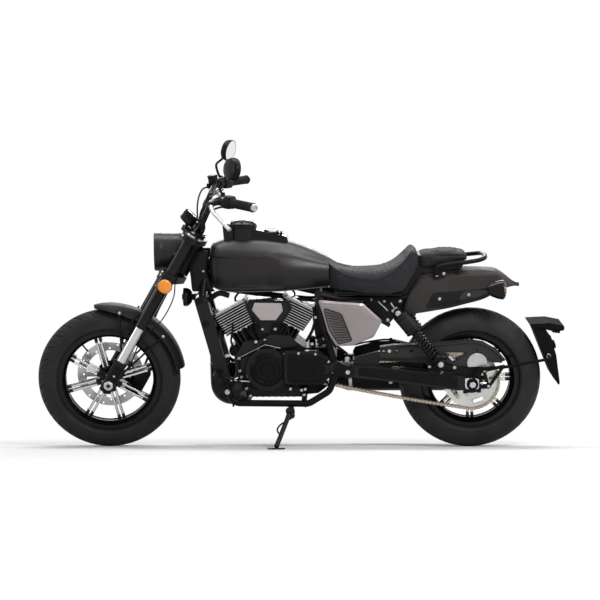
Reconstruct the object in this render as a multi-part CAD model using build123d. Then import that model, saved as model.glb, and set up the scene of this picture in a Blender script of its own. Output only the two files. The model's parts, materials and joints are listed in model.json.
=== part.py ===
"""Cruiser motorcycle with a V-twin engine, standing on its side stand.

Every piece is first made upright: X runs forward from the rear axle, Y to the left, Z up from the floor.
Fork pieces are made along the fork, with Z up its legs from the front axle and X forward of them.
At the end the steered pieces are turned by STEER_REST, and the whole machine leans onto its side stand.
Lengths are in millimetres and angles in degrees.
"""

import math
import os

from build123d import *

# ---------------------------------------------------------------- driving dimensions
WHEELBASE = 1525.0
LEAN = 11.5  # to the left, onto the side stand
STEER_REST = 5.5  # to the left
RUN = 0.1  # radial clearance of a shaft in its hole
GAP = 0.3  # clearance between faces that nearly touch

# wheels
TYRE_R = 299.0
AXLE_Z = 299.0  # height of both axles in the upright machine
FRONT_TYRE = {"crown": 60.0, "bead_half": 38.0, "bead_r": 203.0, "flange_r": 215.0, "well_r": 192.0}
REAR_TYRE = {"crown": 75.0, "bead_half": 48.0, "bead_r": 190.0, "flange_r": 203.0, "well_r": 178.0}
CARCASS = 11.0
RIM_WALL = 6.0
SPOKE_PAIRS = 8
BLADE_W = 9.5
BLADE_SPREAD = 19.0  # between the middles of a pair of blades
FRONT_SPOKE_TURN = 30.5
REAR_SPOKE_TURN = -1.0
HUB_R = 34.0
AXLE_R = 13.0
AXLE_BORE = 8.5
DISC_T = 5.0
FRONT_DISC = {"y": -70.0, "r": 140.0, "ring_r": 104.0, "seat_r": 52.0, "holes": 24}
REAR_DISC = {"y": -88.0, "r": 120.0, "ring_r": 88.0, "seat_r": 52.0, "holes": 18}

# fork and steering head
RAKE = 30.0
LEG_Y = 105.0
STEM_BACK = 45.0  # stem axis behind the legs
STEM_R = 15.0
HEAD_R = 29.0
STANCHION_R = 20.5
STANCHION_BOTTOM = 46.0
SLIDER_R = 26.0
SLIDER_BOTTOM = -34.0
SLIDER_TOP = 104.0
COVER_R = 25.0
COVER_BOTTOM = 278.0
SLEEVE_R = 29.0
SLEEVE_BOTTOM = 462.0
LOWER_CLAMP = (508.0, 538.0)
UPPER_CLAMP = (690.0, 714.0)
CLAMP_EDGE = 38.0  # clamp outline round each leg
FORK_TOP = 722.0

# handlebar
BAR_R = 12.5
BAR_BORE_R = 8.5
BAR_BORE_DEPTH = 55.0
BAR_CLAMP_Y = 45.0
BAR_HEIGHT = 742.0  # up the fork
GRIP_R = 17.0
GRIP_LENGTH = 122.0
BAR_BACK = 18.0  # middle of the bar behind the legs
BAR_FROM_AXLE = [(-387, 66, 634), (-440, 120, 759), (-463, 232, 787), (-600, 402, 781)]

# chain drive
PITCH = 15.875
REAR_TEETH = 45
FRONT_TEETH = 15
CHAIN_Y = 92.0
SPROCKET_T = 8.0
CHAIN_INNER = 9.4  # between the side plates
CHAIN_PLATE_T = 2.4
CHAIN_PLATE_H = 15.0
ROLLER_R = 5.0
OUTPUT_SHAFT = (625.0, 336.0)

# swingarm and shocks
PIVOT = (518.0, 351.0)
ARM_INNER_Y = 106.0
ARM_OUTER_Y = 134.0
SHOCK_TOP = (312.0, 603.0)
SHOCK_BOTTOM = (134.0, 388.0)
SHOCK_Y = 152.0
SHOCK_PIN_R = 7.0

# engine
CRANK = (853.0, 359.0)
CASE_HALF = 95.0
FIN_COUNT = 10
FIN_T = 3.2
FIN_HALF_Y = 78.0
BARREL_R = 50.0
FLANGE_R = BARREL_R + 12
# each cylinder: middle of its top fin in X and Z, lean of its axis, fin width at the top and bottom, foot length
CYLINDERS = {
    "front": {"top": (1013, 605), "tilt": 28.5, "wide": 163, "narrow": 131, "foot": 185},
    "rear": {"top": (716, 626), "tilt": -26.0, "wide": 155, "narrow": 125, "foot": 205},
}
FIN_BLOCK = 98.0

# frame
RAIL_R = 14.0
RAIL_Y = 125.0
RAIL_Z = 213.0
BACKBONE_R = 24.0
SPAR_IN, SPAR_OUT = 88.0, 116.0
SPAR_W = 54.0

# side stand
STAND_PIVOT = Vector(757, 152, 186)
STAND_SOLE = (812.0, 282.0)  # X and Y of the middle of the sole
STAND_FOLDED = Vector(-0.99, 0.10, 0.05).normalized()
STAND_PIN_R = 7.0
SOLE_T = 6.0

# overall middle of the standing machine, from the upright rear contact point
MIDDLE = (720.0, 185.5)

LEFT, RIGHT = 1, -1
Y_AXIS = Vector(0, 1, 0)


def sin(a):
    return math.sin(math.radians(a))


def cos(a):
    return math.cos(math.radians(a))


# ---------------------------------------------------------------- how the machine stands
FORK = Location((WHEELBASE, 0, AXLE_Z), (0, -RAKE, 0))
STEM_AXIS = Axis((FORK * Pos(-STEM_BACK, 0, 0)).position, Vector(-sin(RAKE), 0, cos(RAKE)))


def steered_point(x, y, z):
    """A point of the upright machine with the bar straight, after the bar is turned."""
    return Vertex(x, y, z).rotate(STEM_AXIS, STEER_REST).center()


def standing():
    """Where the upright machine goes: leaned, pitched until both tyres touch the floor, and centred."""
    hub = steered_point(WHEELBASE, 0, AXLE_Z)
    spin = steered_point(WHEELBASE, 1, AXLE_Z) - hub
    pitch = 0.0
    for _ in range(4):
        tilt = Location((0, 0, 0), (0, pitch, 0)) * Location((0, 0, 0), (-LEAN, 0, 0))
        heights = []
        for axle, axis, tyre in ((Vector(0, 0, AXLE_Z), Vector(0, 1, 0), REAR_TYRE), (hub, spin, FRONT_TYRE)):
            rise = (tilt * Pos(*axis)).position.Z
            ring = TYRE_R - tyre["crown"]
            heights.append((tilt * Pos(*axle)).position.Z - ring * math.sqrt(1 - rise**2) - tyre["crown"])
        pitch += math.degrees((heights[1] - heights[0]) / WHEELBASE)
    return Location((-MIDDLE[0], -MIDDLE[1], -heights[0])) * tilt


PLACE = standing()


# ---------------------------------------------------------------- making shapes
def rod(a, b, r, bore=0.0):
    """A round bar from a to b, or a tube when it has a bore."""
    a, b = Vector(*a), Vector(*b)
    face = Circle(r) - Circle(bore) if bore else Circle(r)
    return extrude(Plane(origin=a, z_dir=b - a) * face, (b - a).length)


def pipe(points, bend, r):
    """A bent round bar through the points, each corner rounded to the radius bend."""
    path = FilletPolyline(*points, radius=bend)
    return sweep(Plane(origin=path @ 0, z_dir=path % 0) * Circle(r), path=path)


def shape(*points, r=0.0):
    """A closed outline with straight sides, its corners rounded to r."""
    face = make_face(Polyline(*points, close=True))
    return fillet(face.vertices(), r) if r else face


def pill(a, b, ra, rb):
    """Two circles and the straight sides that join them."""
    return make_hull([(Pos(*a) * Circle(ra)).edge(), (Pos(*b) * Circle(rb)).edge()])


def side(sketch, y0, y1):
    """A sketch whose axes are X and Z, made solid from y0 to y1."""
    plane = Plane(origin=(0, max(y0, y1), 0), x_dir=(1, 0, 0), z_dir=(0, -1, 0))
    return extrude(plane * sketch, abs(y1 - y0), dir=(0, -1, 0))


def plan(sketch, z0, z1):
    """A sketch whose axes are X and Y, made solid from z0 to z1."""
    return extrude(Pos(0, 0, z0) * sketch, z1 - z0, dir=(0, 0, 1))


def other(piece):
    """The same piece on the other side of the machine."""
    return mirror(piece, about=Plane.XZ)


def both(*pieces):
    return list(pieces) + [other(p) for p in pieces]


def spun(*profile):
    """A ring about the wheel axis, from points of radius and Y."""
    return revolve(make_face(Polyline(*profile, close=True)), Axis.Y)


# ---------------------------------------------------------------- wheels, made about the origin
def tyre(t):
    crown, half, bead = t["crown"], t["bead_half"], t["bead_r"]
    ring = TYRE_R - crown
    neck = t["flange_r"] + 1
    bulge = ((neck + ring) / 2 - 3, (half + crown) / 2 + 4)
    inner = crown - CARCASS
    flip = lambda p: (p[0], -p[1])
    edges = [
        Line((bead, half), (neck, half)),
        ThreePointArc((neck, half), bulge, (ring, crown)),
        ThreePointArc((ring, crown), (TYRE_R, 0), (ring, -crown)),
        ThreePointArc((ring, -crown), flip(bulge), (neck, -half)),
        Line((neck, -half), (bead, -half)),
        Line((bead, -half), (bead, -half + 14)),
        Line((bead, -half + 14), (ring, -inner)),
        ThreePointArc((ring, -inner), (ring + inner - 3, 0), (ring, inner)),
        Line((ring, inner), (bead, half - 14)),
        Line((bead, half - 14), (bead, half)),
    ]
    return revolve(make_face(edges), Axis.Y)


def barrel(t):
    """The ring that holds the tyre: a flange, bead seat and well on each side."""
    half, bead, well, flange = t["bead_half"], t["bead_r"], t["well_r"], t["flange_r"]
    edge = [
        (well, half - 28),
        (bead, half - 18),
        (bead, half),
        (flange, half),
        (flange, half + 5),
        (bead - RIM_WALL, half + 5),
        (bead - RIM_WALL, half - 17),
        (well - RIM_WALL, half - 27),
    ]
    return spun(*edge, *[(r, -y) for r, y in reversed(edge)])


def blades(t, turn):
    """Pairs of thin parallel spokes from the hub to the barrel."""
    root, tip = HUB_R - 8, t["well_r"] - RIM_WALL / 2
    blade = shape((root, -20), (tip, -11), (tip, 11), (root, 20))
    blade = extrude(blade, BLADE_W / 2, both=True)
    made = []
    for i in range(SPOKE_PAIRS):
        for offset in (-BLADE_SPREAD / 2, BLADE_SPREAD / 2):
            made.append(Rot(0, -turn - i * 360 / SPOKE_PAIRS, 0) * Pos(0, 0, offset) * blade)
    return made


def rim(t, turn, hub):
    """hub: outer radius and the Y where each of its steps starts and ends."""
    solid = barrel(t)
    solid += blades(t, turn)
    for r, y0, y1 in hub:
        solid += rod((0, y0, 0), (0, y1, 0), r)
    return solid - rod((0, -150, 0), (0, 150, 0), AXLE_R + RUN)


def brake_disc(d):
    """A drilled ring on five arms."""
    face = Circle(d["r"]) - Circle(d["ring_r"])
    for k in range(5):
        face += Rot(0, 0, 72 * k) * Pos((d["ring_r"] + d["seat_r"]) / 2, 0) * Rectangle(d["ring_r"] - d["seat_r"] + 16, 22)
    face += Circle(d["seat_r"])
    face -= Circle(HUB_R - 10)
    middle = (d["r"] + d["ring_r"]) / 2
    for k in range(d["holes"]):
        angle = 360 / d["holes"] * k
        radius = middle + (9 if k % 2 else -9)
        face -= Pos(radius * cos(angle), radius * sin(angle)) * Circle(4.2)
    return side(face, d["y"] - DISC_T / 2, d["y"] + DISC_T / 2)


def pitch_radius(teeth):
    return PITCH / (2 * sin(180 / teeth))


def sprocket(teeth):
    """Teeth whose gullets fit the rollers, on a ring with five windows."""
    radius = pitch_radius(teeth)
    step = 360 / teeth
    gullet = ROLLER_R + 0.3
    tip = radius + 4.5
    points = []
    for k in range(teeth):
        a = step * k
        for r, turn in ((radius, -0.5 * math.degrees(gullet / radius) * 1.9), (radius - gullet, 0),
                        (radius, 0.5 * math.degrees(gullet / radius) * 1.9), (tip, step / 2 - 0.45),
                        (tip, step / 2 + 0.45)):
            points.append((r * cos(a + turn), r * sin(a + turn)))
    face = shape(*points)
    face -= Circle(HUB_R + RUN)
    for k in range(5):
        face -= Rot(0, 0, 72 * k + 36) * (Pos(82, 0) * RectangleRounded(20, 50, 8))
    return side(face, CHAIN_Y - SPROCKET_T / 2, CHAIN_Y + SPROCKET_T / 2)


FRONT_HUB = [
    (HUB_R, FRONT_DISC["y"] + DISC_T / 2, 60),
    (FRONT_DISC["seat_r"], FRONT_DISC["y"] + DISC_T / 2, FRONT_DISC["y"] + DISC_T / 2 + 9),
]
REAR_HUB = [
    (HUB_R, REAR_DISC["y"] + DISC_T / 2, CHAIN_Y + SPROCKET_T / 2),
    (REAR_DISC["seat_r"], REAR_DISC["y"] + DISC_T / 2, REAR_DISC["y"] + DISC_T / 2 + 12),
    (66, 62, CHAIN_Y - SPROCKET_T / 2),
]
FRONT_WHEEL = Pos(WHEELBASE, 0, AXLE_Z)
REAR_WHEEL = Pos(0, 0, AXLE_Z)
ARM_END = (0.0, AXLE_Z)

# ---------------------------------------------------------------- pieces by node
NODES = {}
STEERS = []


def node(name, *pieces, steers=False):
    solids = []
    for piece in pieces:
        solids += piece.solids()
    NODES[name] = solids
    if steers:
        STEERS.append(name)


def fork(*pieces):
    """Pieces drawn along the fork, brought to the upright machine."""
    return [FORK * p for p in pieces]


node("front_tyre", FRONT_WHEEL * tyre(FRONT_TYRE), steers=True)
node("front_rim", FRONT_WHEEL * rim(FRONT_TYRE, FRONT_SPOKE_TURN, FRONT_HUB), steers=True)
node("front_disc", FRONT_WHEEL * brake_disc(FRONT_DISC), steers=True)
node("rear_tyre", REAR_WHEEL * tyre(REAR_TYRE))
node("rear_rim", REAR_WHEEL * rim(REAR_TYRE, REAR_SPOKE_TURN, REAR_HUB))
node("rear_disc", REAR_WHEEL * brake_disc(REAR_DISC))
node("rear_sprocket", REAR_WHEEL * sprocket(REAR_TEETH))


# ---------------------------------------------------------------- fork
def clamp(levels):
    face = pill((0, LEG_Y), (-STEM_BACK, 0), CLAMP_EDGE, STEM_R + 17)
    face += pill((0, -LEG_Y), (-STEM_BACK, 0), CLAMP_EDGE, STEM_R + 17)
    plate = plan(face, *levels)
    for y in (LEFT, RIGHT):
        plate -= rod((0, y * LEG_Y, levels[0] - 1), (0, y * LEG_Y, levels[1] + 1), STANCHION_R + RUN)
    return plate


STEM_BOTTOM, STEM_TOP = (-STEM_BACK, 0, LOWER_CLAMP[0]), (-STEM_BACK, 0, FORK_TOP)
lower_clamp = clamp(LOWER_CLAMP) + rod(STEM_BOTTOM, STEM_TOP, STEM_R)
upper_clamp = clamp(UPPER_CLAMP) - rod(STEM_BOTTOM, STEM_TOP, STEM_R + RUN)
node("triple_clamps", *fork(lower_clamp, upper_clamp), steers=True)


def leg(y, low, high, r, bore=0.0):
    return rod((0, y, low), (0, y, high), r, bore)


stanchion = leg(LEG_Y, STANCHION_BOTTOM, FORK_TOP, STANCHION_R)
node("fork_stanchions", *fork(*both(stanchion)), steers=True)

cover = leg(LEG_Y, COVER_BOTTOM, LOWER_CLAMP[0], COVER_R, STANCHION_R + RUN)
cover += leg(LEG_Y, SLEEVE_BOTTOM, LOWER_CLAMP[0], SLEEVE_R, STANCHION_R + RUN)
top_cover = leg(LEG_Y, LOWER_CLAMP[1], UPPER_CLAMP[0], COVER_R, STANCHION_R + RUN)
node("fork_tubes", *fork(*both(cover, top_cover)), steers=True)


def slider(y):
    """y: LEFT or RIGHT. The right one carries the caliper lug."""
    solid = leg(y * LEG_Y, SLIDER_BOTTOM, SLIDER_TOP, SLIDER_R)
    solid += leg(y * LEG_Y, SLIDER_TOP - 12, SLIDER_TOP, SLIDER_R + 2.5)
    solid += rod((0, y * (LEG_Y - SLIDER_R), 0), (0, y * (LEG_Y + SLIDER_R + 2), 0), AXLE_R + 13)
    solid += side(pill((0, 0), (0, -26), AXLE_R + 9, AXLE_R + 1), y * (LEG_Y - 20), y * (LEG_Y + 20))
    if y == RIGHT:
        lug = side(pill((-20, 66), (-92, 78), 15, 10), -LEG_Y - 5, -LEG_Y + 7)
        solid += lug + side(pill((-20, 10), (-92, 4), 15, 10), -LEG_Y - 5, -LEG_Y + 7)
    solid -= leg(y * LEG_Y, STANCHION_BOTTOM, SLIDER_TOP + 5, STANCHION_R + RUN)
    return solid - rod((0, y * (LEG_Y - 45), 0), (0, y * (LEG_Y + 45), 0), AXLE_R + RUN)


node("fork_sliders", *fork(slider(LEFT), slider(RIGHT)), steers=True)

AXLE_END = LEG_Y + SLIDER_R + 4
SPACER_R = AXLE_R + 6
axle = rod((0, -AXLE_END, 0), (0, AXLE_END, 0), AXLE_R, AXLE_BORE)
axle += rod((0, FRONT_HUB[0][2] + 0.5, 0), (0, LEG_Y - SLIDER_R, 0), SPACER_R, AXLE_BORE)
axle += rod((0, FRONT_DISC["y"] + DISC_T / 2 - 0.5, 0), (0, -LEG_Y + SLIDER_R, 0), SPACER_R, AXLE_BORE)
axle += rod((0, AXLE_END - 2, 0), (0, AXLE_END + 4, 0), AXLE_R + 5, AXLE_BORE)
node("front_axle", *fork(axle), steers=True)

# front mudguard: from past the top of the tyre down to the height of the axle
GUARD_R, GUARD_HALF, GUARD_T = TYRE_R + 23, 72.0, 3.5
GUARD_EDGE_R = TYRE_R - 3
GUARD_FROM, GUARD_TO = 81.0, 171.0  # angles up from straight ahead
guard_face = make_face([
    ThreePointArc((GUARD_EDGE_R, GUARD_HALF), (GUARD_R - 7, GUARD_HALF - 22), (GUARD_R, 0)),
    ThreePointArc((GUARD_R, 0), (GUARD_R - 7, -GUARD_HALF + 22), (GUARD_EDGE_R, -GUARD_HALF)),
    Line((GUARD_EDGE_R, -GUARD_HALF), (GUARD_EDGE_R, -GUARD_HALF + GUARD_T)),
    ThreePointArc((GUARD_EDGE_R, -GUARD_HALF + GUARD_T), (GUARD_R - 10, -GUARD_HALF + 24), (GUARD_R - GUARD_T, 0)),
    ThreePointArc((GUARD_R - GUARD_T, 0), (GUARD_R - 10, GUARD_HALF - 24), (GUARD_EDGE_R, GUARD_HALF - GUARD_T)),
    Line((GUARD_EDGE_R, GUARD_HALF - GUARD_T), (GUARD_EDGE_R, GUARD_HALF)),
])
guard = FRONT_WHEEL * Rot(0, -GUARD_TO, 0) * revolve(guard_face, Axis.Y, GUARD_TO - GUARD_FROM)
STRUT_Y = LEG_Y - SLIDER_R - 1.5
STRUT_TOP = GUARD_EDGE_R + 6
strut = side(pill((-2, 84), (0, STRUT_TOP), 9, 9), STRUT_Y, STRUT_Y + 4)
strut += rod((0, GUARD_HALF + GAP, STRUT_TOP), (0, STRUT_Y + 2, STRUT_TOP), 9)
strut -= leg(LEG_Y, 60, SLIDER_TOP - 12, SLIDER_R + GAP) + leg(LEG_Y, COVER_BOTTOM - 2, 400, COVER_R + GAP)
stay_r = GUARD_EDGE_R - 3.3
stay = rod((-22, LEG_Y - 17, 96), (-stay_r * sin(39.45), GUARD_HALF + 2, stay_r * cos(39.45)), 3.5)
strut -= leg(LEG_Y, SLIDER_TOP - 14, SLIDER_TOP + 2, SLIDER_R + 2.5 + GAP)
stay -= leg(LEG_Y, 80, 120, SLIDER_R + 2.5)
node("front_mudguard", guard, *fork(*both(strut, stay)), steers=True)


# headlight: a round bucket with its lens, in upright coordinates
LAMP_Z, LAMP_R = AXLE_Z + 539, 78.0
LAMP_AXIS = Axis((0, 0, 0), (1, 0, 0))
LAMP_BACK = 20.0  # ahead of the legs, along the whole back of the bucket
LAMP_FRONT = WHEELBASE - 203
LAMP_CUT = WHEELBASE - 375  # where the bucket is drawn from, inside the fork
bucket_face = shape(
    (LAMP_CUT, 0), (LAMP_CUT, LAMP_R - 2), (LAMP_FRONT, LAMP_R), (LAMP_FRONT, 70), (LAMP_FRONT - 14, 70), (LAMP_FRONT - 14, 0)
)
bucket = Pos(0, 0, LAMP_Z) * Rot(35, 0, 0) * revolve(bucket_face, LAMP_AXIS)
behind = FORK * (Pos(LAMP_BACK - 200, 0, 600) * Box(400, 400, 800))
bucket -= behind
ear = rod((LAMP_BACK + 8, 56, 610), (LAMP_BACK - 6, LEG_Y - 10, 604), 8) - leg(LEG_Y, 400, 700, COVER_R + GAP)
bucket += fork(*both(ear))
lens = rod((LAMP_FRONT - 14, 0, LAMP_Z), (LAMP_FRONT - 2, 0, LAMP_Z), 69.5)
lens = fillet(lens.edges().sort_by(Axis.X)[-1], 7)
node("headlight", bucket, lens, steers=True)

# gauge on the upper clamp
gauge = Pos(37, 0, UPPER_CLAMP[1] + 46) * Rot(0, -14, 0) * Cylinder(34, 44)
gauge = chamfer(gauge.edges().filter_by(GeomType.CIRCLE), 5)
gauge += rod((-24, 0, UPPER_CLAMP[1] + 7), (30, 0, UPPER_CLAMP[1] + 7), 7)
gauge += rod((30, 0, UPPER_CLAMP[1] + 2), (34, 0, UPPER_CLAMP[1] + 34), 8)
node("instrument", *fork(gauge), steers=True)

# handlebar
BAR_ROUTE = [(WHEELBASE + x, y, AXLE_Z + z) for x, y, z in BAR_FROM_AXLE]
bar_path = [(x, -y, z) for x, y, z in reversed(BAR_ROUTE)] + BAR_ROUTE
bar = pipe(bar_path, 34, BAR_R)
bar_end, bar_before = Vector(*BAR_ROUTE[-1]), Vector(*BAR_ROUTE[-2])
grip_dir = (bar_end - bar_before).normalized()
for riser_y in (BAR_CLAMP_Y, -BAR_CLAMP_Y):
    riser = rod((-BAR_BACK, riser_y, UPPER_CLAMP[1]), (-BAR_BACK, riser_y, BAR_HEIGHT + 18), 19)
    bar += FORK * riser
for y in (LEFT, RIGHT):
    end = Vector(bar_end.X, y * bar_end.Y, bar_end.Z)
    along = Vector(grip_dir.X, y * grip_dir.Y, grip_dir.Z)
    bar -= rod(end - along * BAR_BORE_DEPTH, end + along, BAR_BORE_R)
node("handlebar", bar, steers=True)

grip = rod(bar_end - grip_dir * GRIP_LENGTH, bar_end - grip_dir * 1, GRIP_R, BAR_R + RUN)
node("grips", *both(grip), steers=True)


def along_bar(back, r, length, bore=0.0):
    start = bar_end - grip_dir * back
    return rod(start, start + grip_dir * length, r, bore)


housing = along_bar(GRIP_LENGTH + 50, 23, 47, BAR_R + RUN)
perch = along_bar(GRIP_LENGTH + 74, 17, 22, BAR_R + RUN)
perch_at = bar_end - grip_dir * (GRIP_LENGTH + 65)
lever_root = perch_at + Vector(46, 8, -12)
perch += rod(perch_at + Vector(13, 2, -3), lever_root, 9)
perch -= along_bar(GRIP_LENGTH + 90, BAR_R + RUN, 60)
lever = pipe([lever_root, lever_root + Vector(-6, 44, -22), lever_root + Vector(-62, 132, -72)], 60, 5.5)
lever += rod(lever_root + Vector(0, 0, -6), lever_root + Vector(0, 0, 7), 10)
lever -= perch
node("hand_controls", *both(housing, perch, lever), steers=True)

# mirrors
mirror_base = perch_at + Vector(-4, -4, 17)
mirror_top = Vector(WHEELBASE - 522, 296, AXLE_Z + 893)
stem = pipe([mirror_base, mirror_base + Vector(-6, 2, 72), mirror_top], 22, 4.5)
stem += rod(mirror_base + Vector(0, 0, -1), mirror_base + Vector(0, 0, 14), 8)
stem -= perch
head = extrude(Ellipse(55, 45), 22)
head = chamfer(head.faces().sort_by(Axis.Z)[-1].edges(), 9)
head = Pos(*(mirror_top + Vector(0, 18, 28))) * Rot(0, 78, 0) * Rot(24, 0, 0) * Rot(0, 0, 90) * Pos(0, 0, -11) * head
node("mirrors", *both(stem + head), steers=True)

# front turn signals on the leg sleeves
signal_y = LEG_Y + SLEEVE_R
signal_z = 488.0
signal_base = rod((0, signal_y - 4, signal_z), (0, signal_y + 12, signal_z), 20) - leg(LEG_Y, 400, 600, SLEEVE_R + GAP)
signal_cup = rod((0, signal_y + 12, signal_z), (0, signal_y + 20, signal_z), 30)
signal_lens = rod((0, signal_y + 20, signal_z), (0, signal_y + 32, signal_z), 28)
signal_lens = fillet(signal_lens.edges().sort_by(Axis.Y)[-1], 8)
node("front_turn_signals", *fork(*both(signal_base + signal_cup, signal_lens)), steers=True)

# front caliper and its hose
CAL = (-125.0, 41.0)
caliper = side(pill((CAL[0], CAL[1] - 34), (CAL[0], CAL[1] + 34), 26, 26), -95, -52)
caliper -= side(Circle(FRONT_DISC["r"] + 3), FRONT_DISC["y"] - 5, FRONT_DISC["y"] + 5)
caliper -= side(Circle(100), -100, -50)
caliper += side(pill((-92, 4), (-92, 78), 10, 10), -LEG_Y + 7, -78)
caliper -= side(Circle(FRONT_DISC["r"] + 3), FRONT_DISC["y"] - 5, FRONT_DISC["y"] + 5)
hose_route = [(-112, 9, 88), (-104, 7, 150), (-46, 13, 250), (-40, 29, 430), (-32, 43, LOWER_CLAMP[0] - 1)]
hose = pipe([(x, inward - LEG_Y, z) for x, inward, z in hose_route], 40, 4)
node("front_brake", *fork(caliper, hose), steers=True)

# ---------------------------------------------------------------- frame
head_low, head_high = LOWER_CLAMP[1] + 5, UPPER_CLAMP[0] - 5
HEAD_LOW = (FORK * Pos(-STEM_BACK, 0, head_low)).position
HEAD_HIGH = (FORK * Pos(-STEM_BACK, 0, head_high)).position
HEAD_MID = (HEAD_LOW + HEAD_HIGH) * 0.5
SEAT_TUBE = (640.0, 676.0)
spine = rod(HEAD_LOW, HEAD_HIGH, HEAD_R)
spine += pipe([HEAD_MID, (1060, 0, 772), (SEAT_TUBE[0], 0, SEAT_TUBE[1])], 200, BACKBONE_R)
spine += rod((SEAT_TUBE[0], -RAIL_Y, SEAT_TUBE[1]), (SEAT_TUBE[0], RAIL_Y, SEAT_TUBE[1]), 16)
# two rubber posts carry the tank, square to the ceiling of its tunnel
CEILING_LOW, CEILING_HIGH = Vector(600, 0, 714), Vector(1060, 0, 806)
ceiling_up = (CEILING_HIGH - CEILING_LOW).cross(Y_AXIS).normalized()
for part_way in (0.2, 0.85):
    post_top = CEILING_LOW + (CEILING_HIGH - CEILING_LOW) * part_way
    spine += rod(post_top - ceiling_up * 46, post_top, 13)
spine -= rod(HEAD_LOW, HEAD_HIGH, STEM_R + RUN)
node("frame_spine", spine)

SPAR_TOP, SPAR_LOW = (1128.0, 660.0), (1030.0, 300.0)
SPAR_MID = (SPAR_IN + SPAR_OUT) / 2
spar_dir = Vector(SPAR_TOP[0] - SPAR_LOW[0], SPAR_TOP[1] - SPAR_LOW[1]).normalized()
across = Vector(spar_dir.Y, -spar_dir.X) * (SPAR_W / 2)
low, high = Vector(*SPAR_LOW), Vector(*SPAR_TOP)
spar_face = shape(tuple(low - across)[:2], tuple(low + across)[:2], tuple(high + across)[:2], tuple(high - across)[:2], r=8)
spar = side(spar_face, SPAR_IN, SPAR_OUT)
link = rod((1122, SPAR_MID, 645), (1110, 20, 772), 15)
backbone_clear = pipe([HEAD_MID, (1060, 0, 772), (SEAT_TUBE[0], 0, SEAT_TUBE[1])], 200, BACKBONE_R + GAP)
node("front_spars", *both(spar + (link - backbone_clear)))

rail_route = [
    (1034, SPAR_MID, 300 - GAP),
    (996, 112, RAIL_Z),
    (680, RAIL_Y, RAIL_Z),
    (592, RAIL_Y, 268),
    (566, RAIL_Y, 362),
    (613, RAIL_Y, 524),
    (SEAT_TUBE[0], RAIL_Y, SEAT_TUBE[1] - 16),
]
rail = pipe(rail_route, 45, RAIL_R)
pivot_plate = side(pill(PIVOT, (566, 372), 22, 26), ARM_OUTER_Y + 1, ARM_OUTER_Y + 12)
cradle = rail + other(rail) + pivot_plate + other(pivot_plate)
for x, z, r in ((960, RAIL_Z, 12), (700, RAIL_Z, 12)):
    cradle += rod((x, -RAIL_Y + 8, z), (x, RAIL_Y - 8, z), r)
cradle -= list(NODES["front_spars"]) + list(NODES["frame_spine"])
cradle += rod((PIVOT[0], -ARM_OUTER_Y - 14, PIVOT[1]), (PIVOT[0], ARM_OUTER_Y + 14, PIVOT[1]), 9)

# side stand: pivot lug on the left rail
ground = PLACE.inverse()
sole_world = PLACE * Pos(STAND_SOLE[0], STAND_SOLE[1], STAND_SOLE[1] * math.tan(math.radians(LEAN)))
sole_at = Pos(sole_world.position.X, sole_world.position.Y, SOLE_T / 2)
ankle = (ground * sole_at * Pos(0, 0, SOLE_T / 2 + 4)).position
stand_out = (ankle - STAND_PIVOT).normalized()
STAND_AXIS = stand_out.cross(STAND_FOLDED).normalized()
STAND_SWEEP = stand_out.get_angle(STAND_FOLDED)
lug = rod(STAND_PIVOT - STAND_AXIS * 32, STAND_PIVOT - STAND_AXIS * 8, 16)
rail_beside = Vector(STAND_PIVOT.X, RAIL_Y, RAIL_Z)
lug += rod(STAND_PIVOT - STAND_AXIS * 21, rail_beside - STAND_AXIS * ((rail_beside - STAND_PIVOT).dot(STAND_AXIS) + 21), 12)
pin = rod(STAND_PIVOT - STAND_AXIS * 15, STAND_PIVOT + STAND_AXIS * 13, STAND_PIN_R)
pin += rod(STAND_PIVOT + STAND_AXIS * 8, STAND_PIVOT + STAND_AXIS * 14, 13)
cradle += lug + pin
node("frame_cradle", cradle)

hub = rod(STAND_PIVOT - STAND_AXIS * 7, STAND_PIVOT + STAND_AXIS * 7, 19)
leg_bar = rod(STAND_PIVOT + stand_out * 16.5, ankle, 10)
sole = ground * sole_at * Rot(0, 0, 20) * Box(64, 40, SOLE_T)
stand = hub + leg_bar + sole - rod(STAND_PIVOT - STAND_AXIS * 8, STAND_PIVOT + STAND_AXIS * 8, STAND_PIN_R + RUN)
node("side_stand", stand)

# subframe under the seat
rear_rail = pipe([(SEAT_TUBE[0] - 10, 100, SEAT_TUBE[1] - 6), (560, 92, 652), (300, 78, 652), (-30, 66, 706)], 80, 11)
lower_rail = pipe([(602, 112, 500), (470, 98, 560), (330, 82, 648)], 60, 9)
shock_plate = side(pill(SHOCK_TOP, (322, 652), 20, 24), 74, 84)
subframe = rear_rail + lower_rail + shock_plate
subframe = subframe + other(subframe)
subframe += rod((SHOCK_TOP[0], -SHOCK_Y - 24, SHOCK_TOP[1]), (SHOCK_TOP[0], SHOCK_Y + 24, SHOCK_TOP[1]), SHOCK_PIN_R)
subframe -= NODES["frame_cradle"]
subframe -= NODES["frame_spine"]
node("subframe", subframe)

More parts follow.
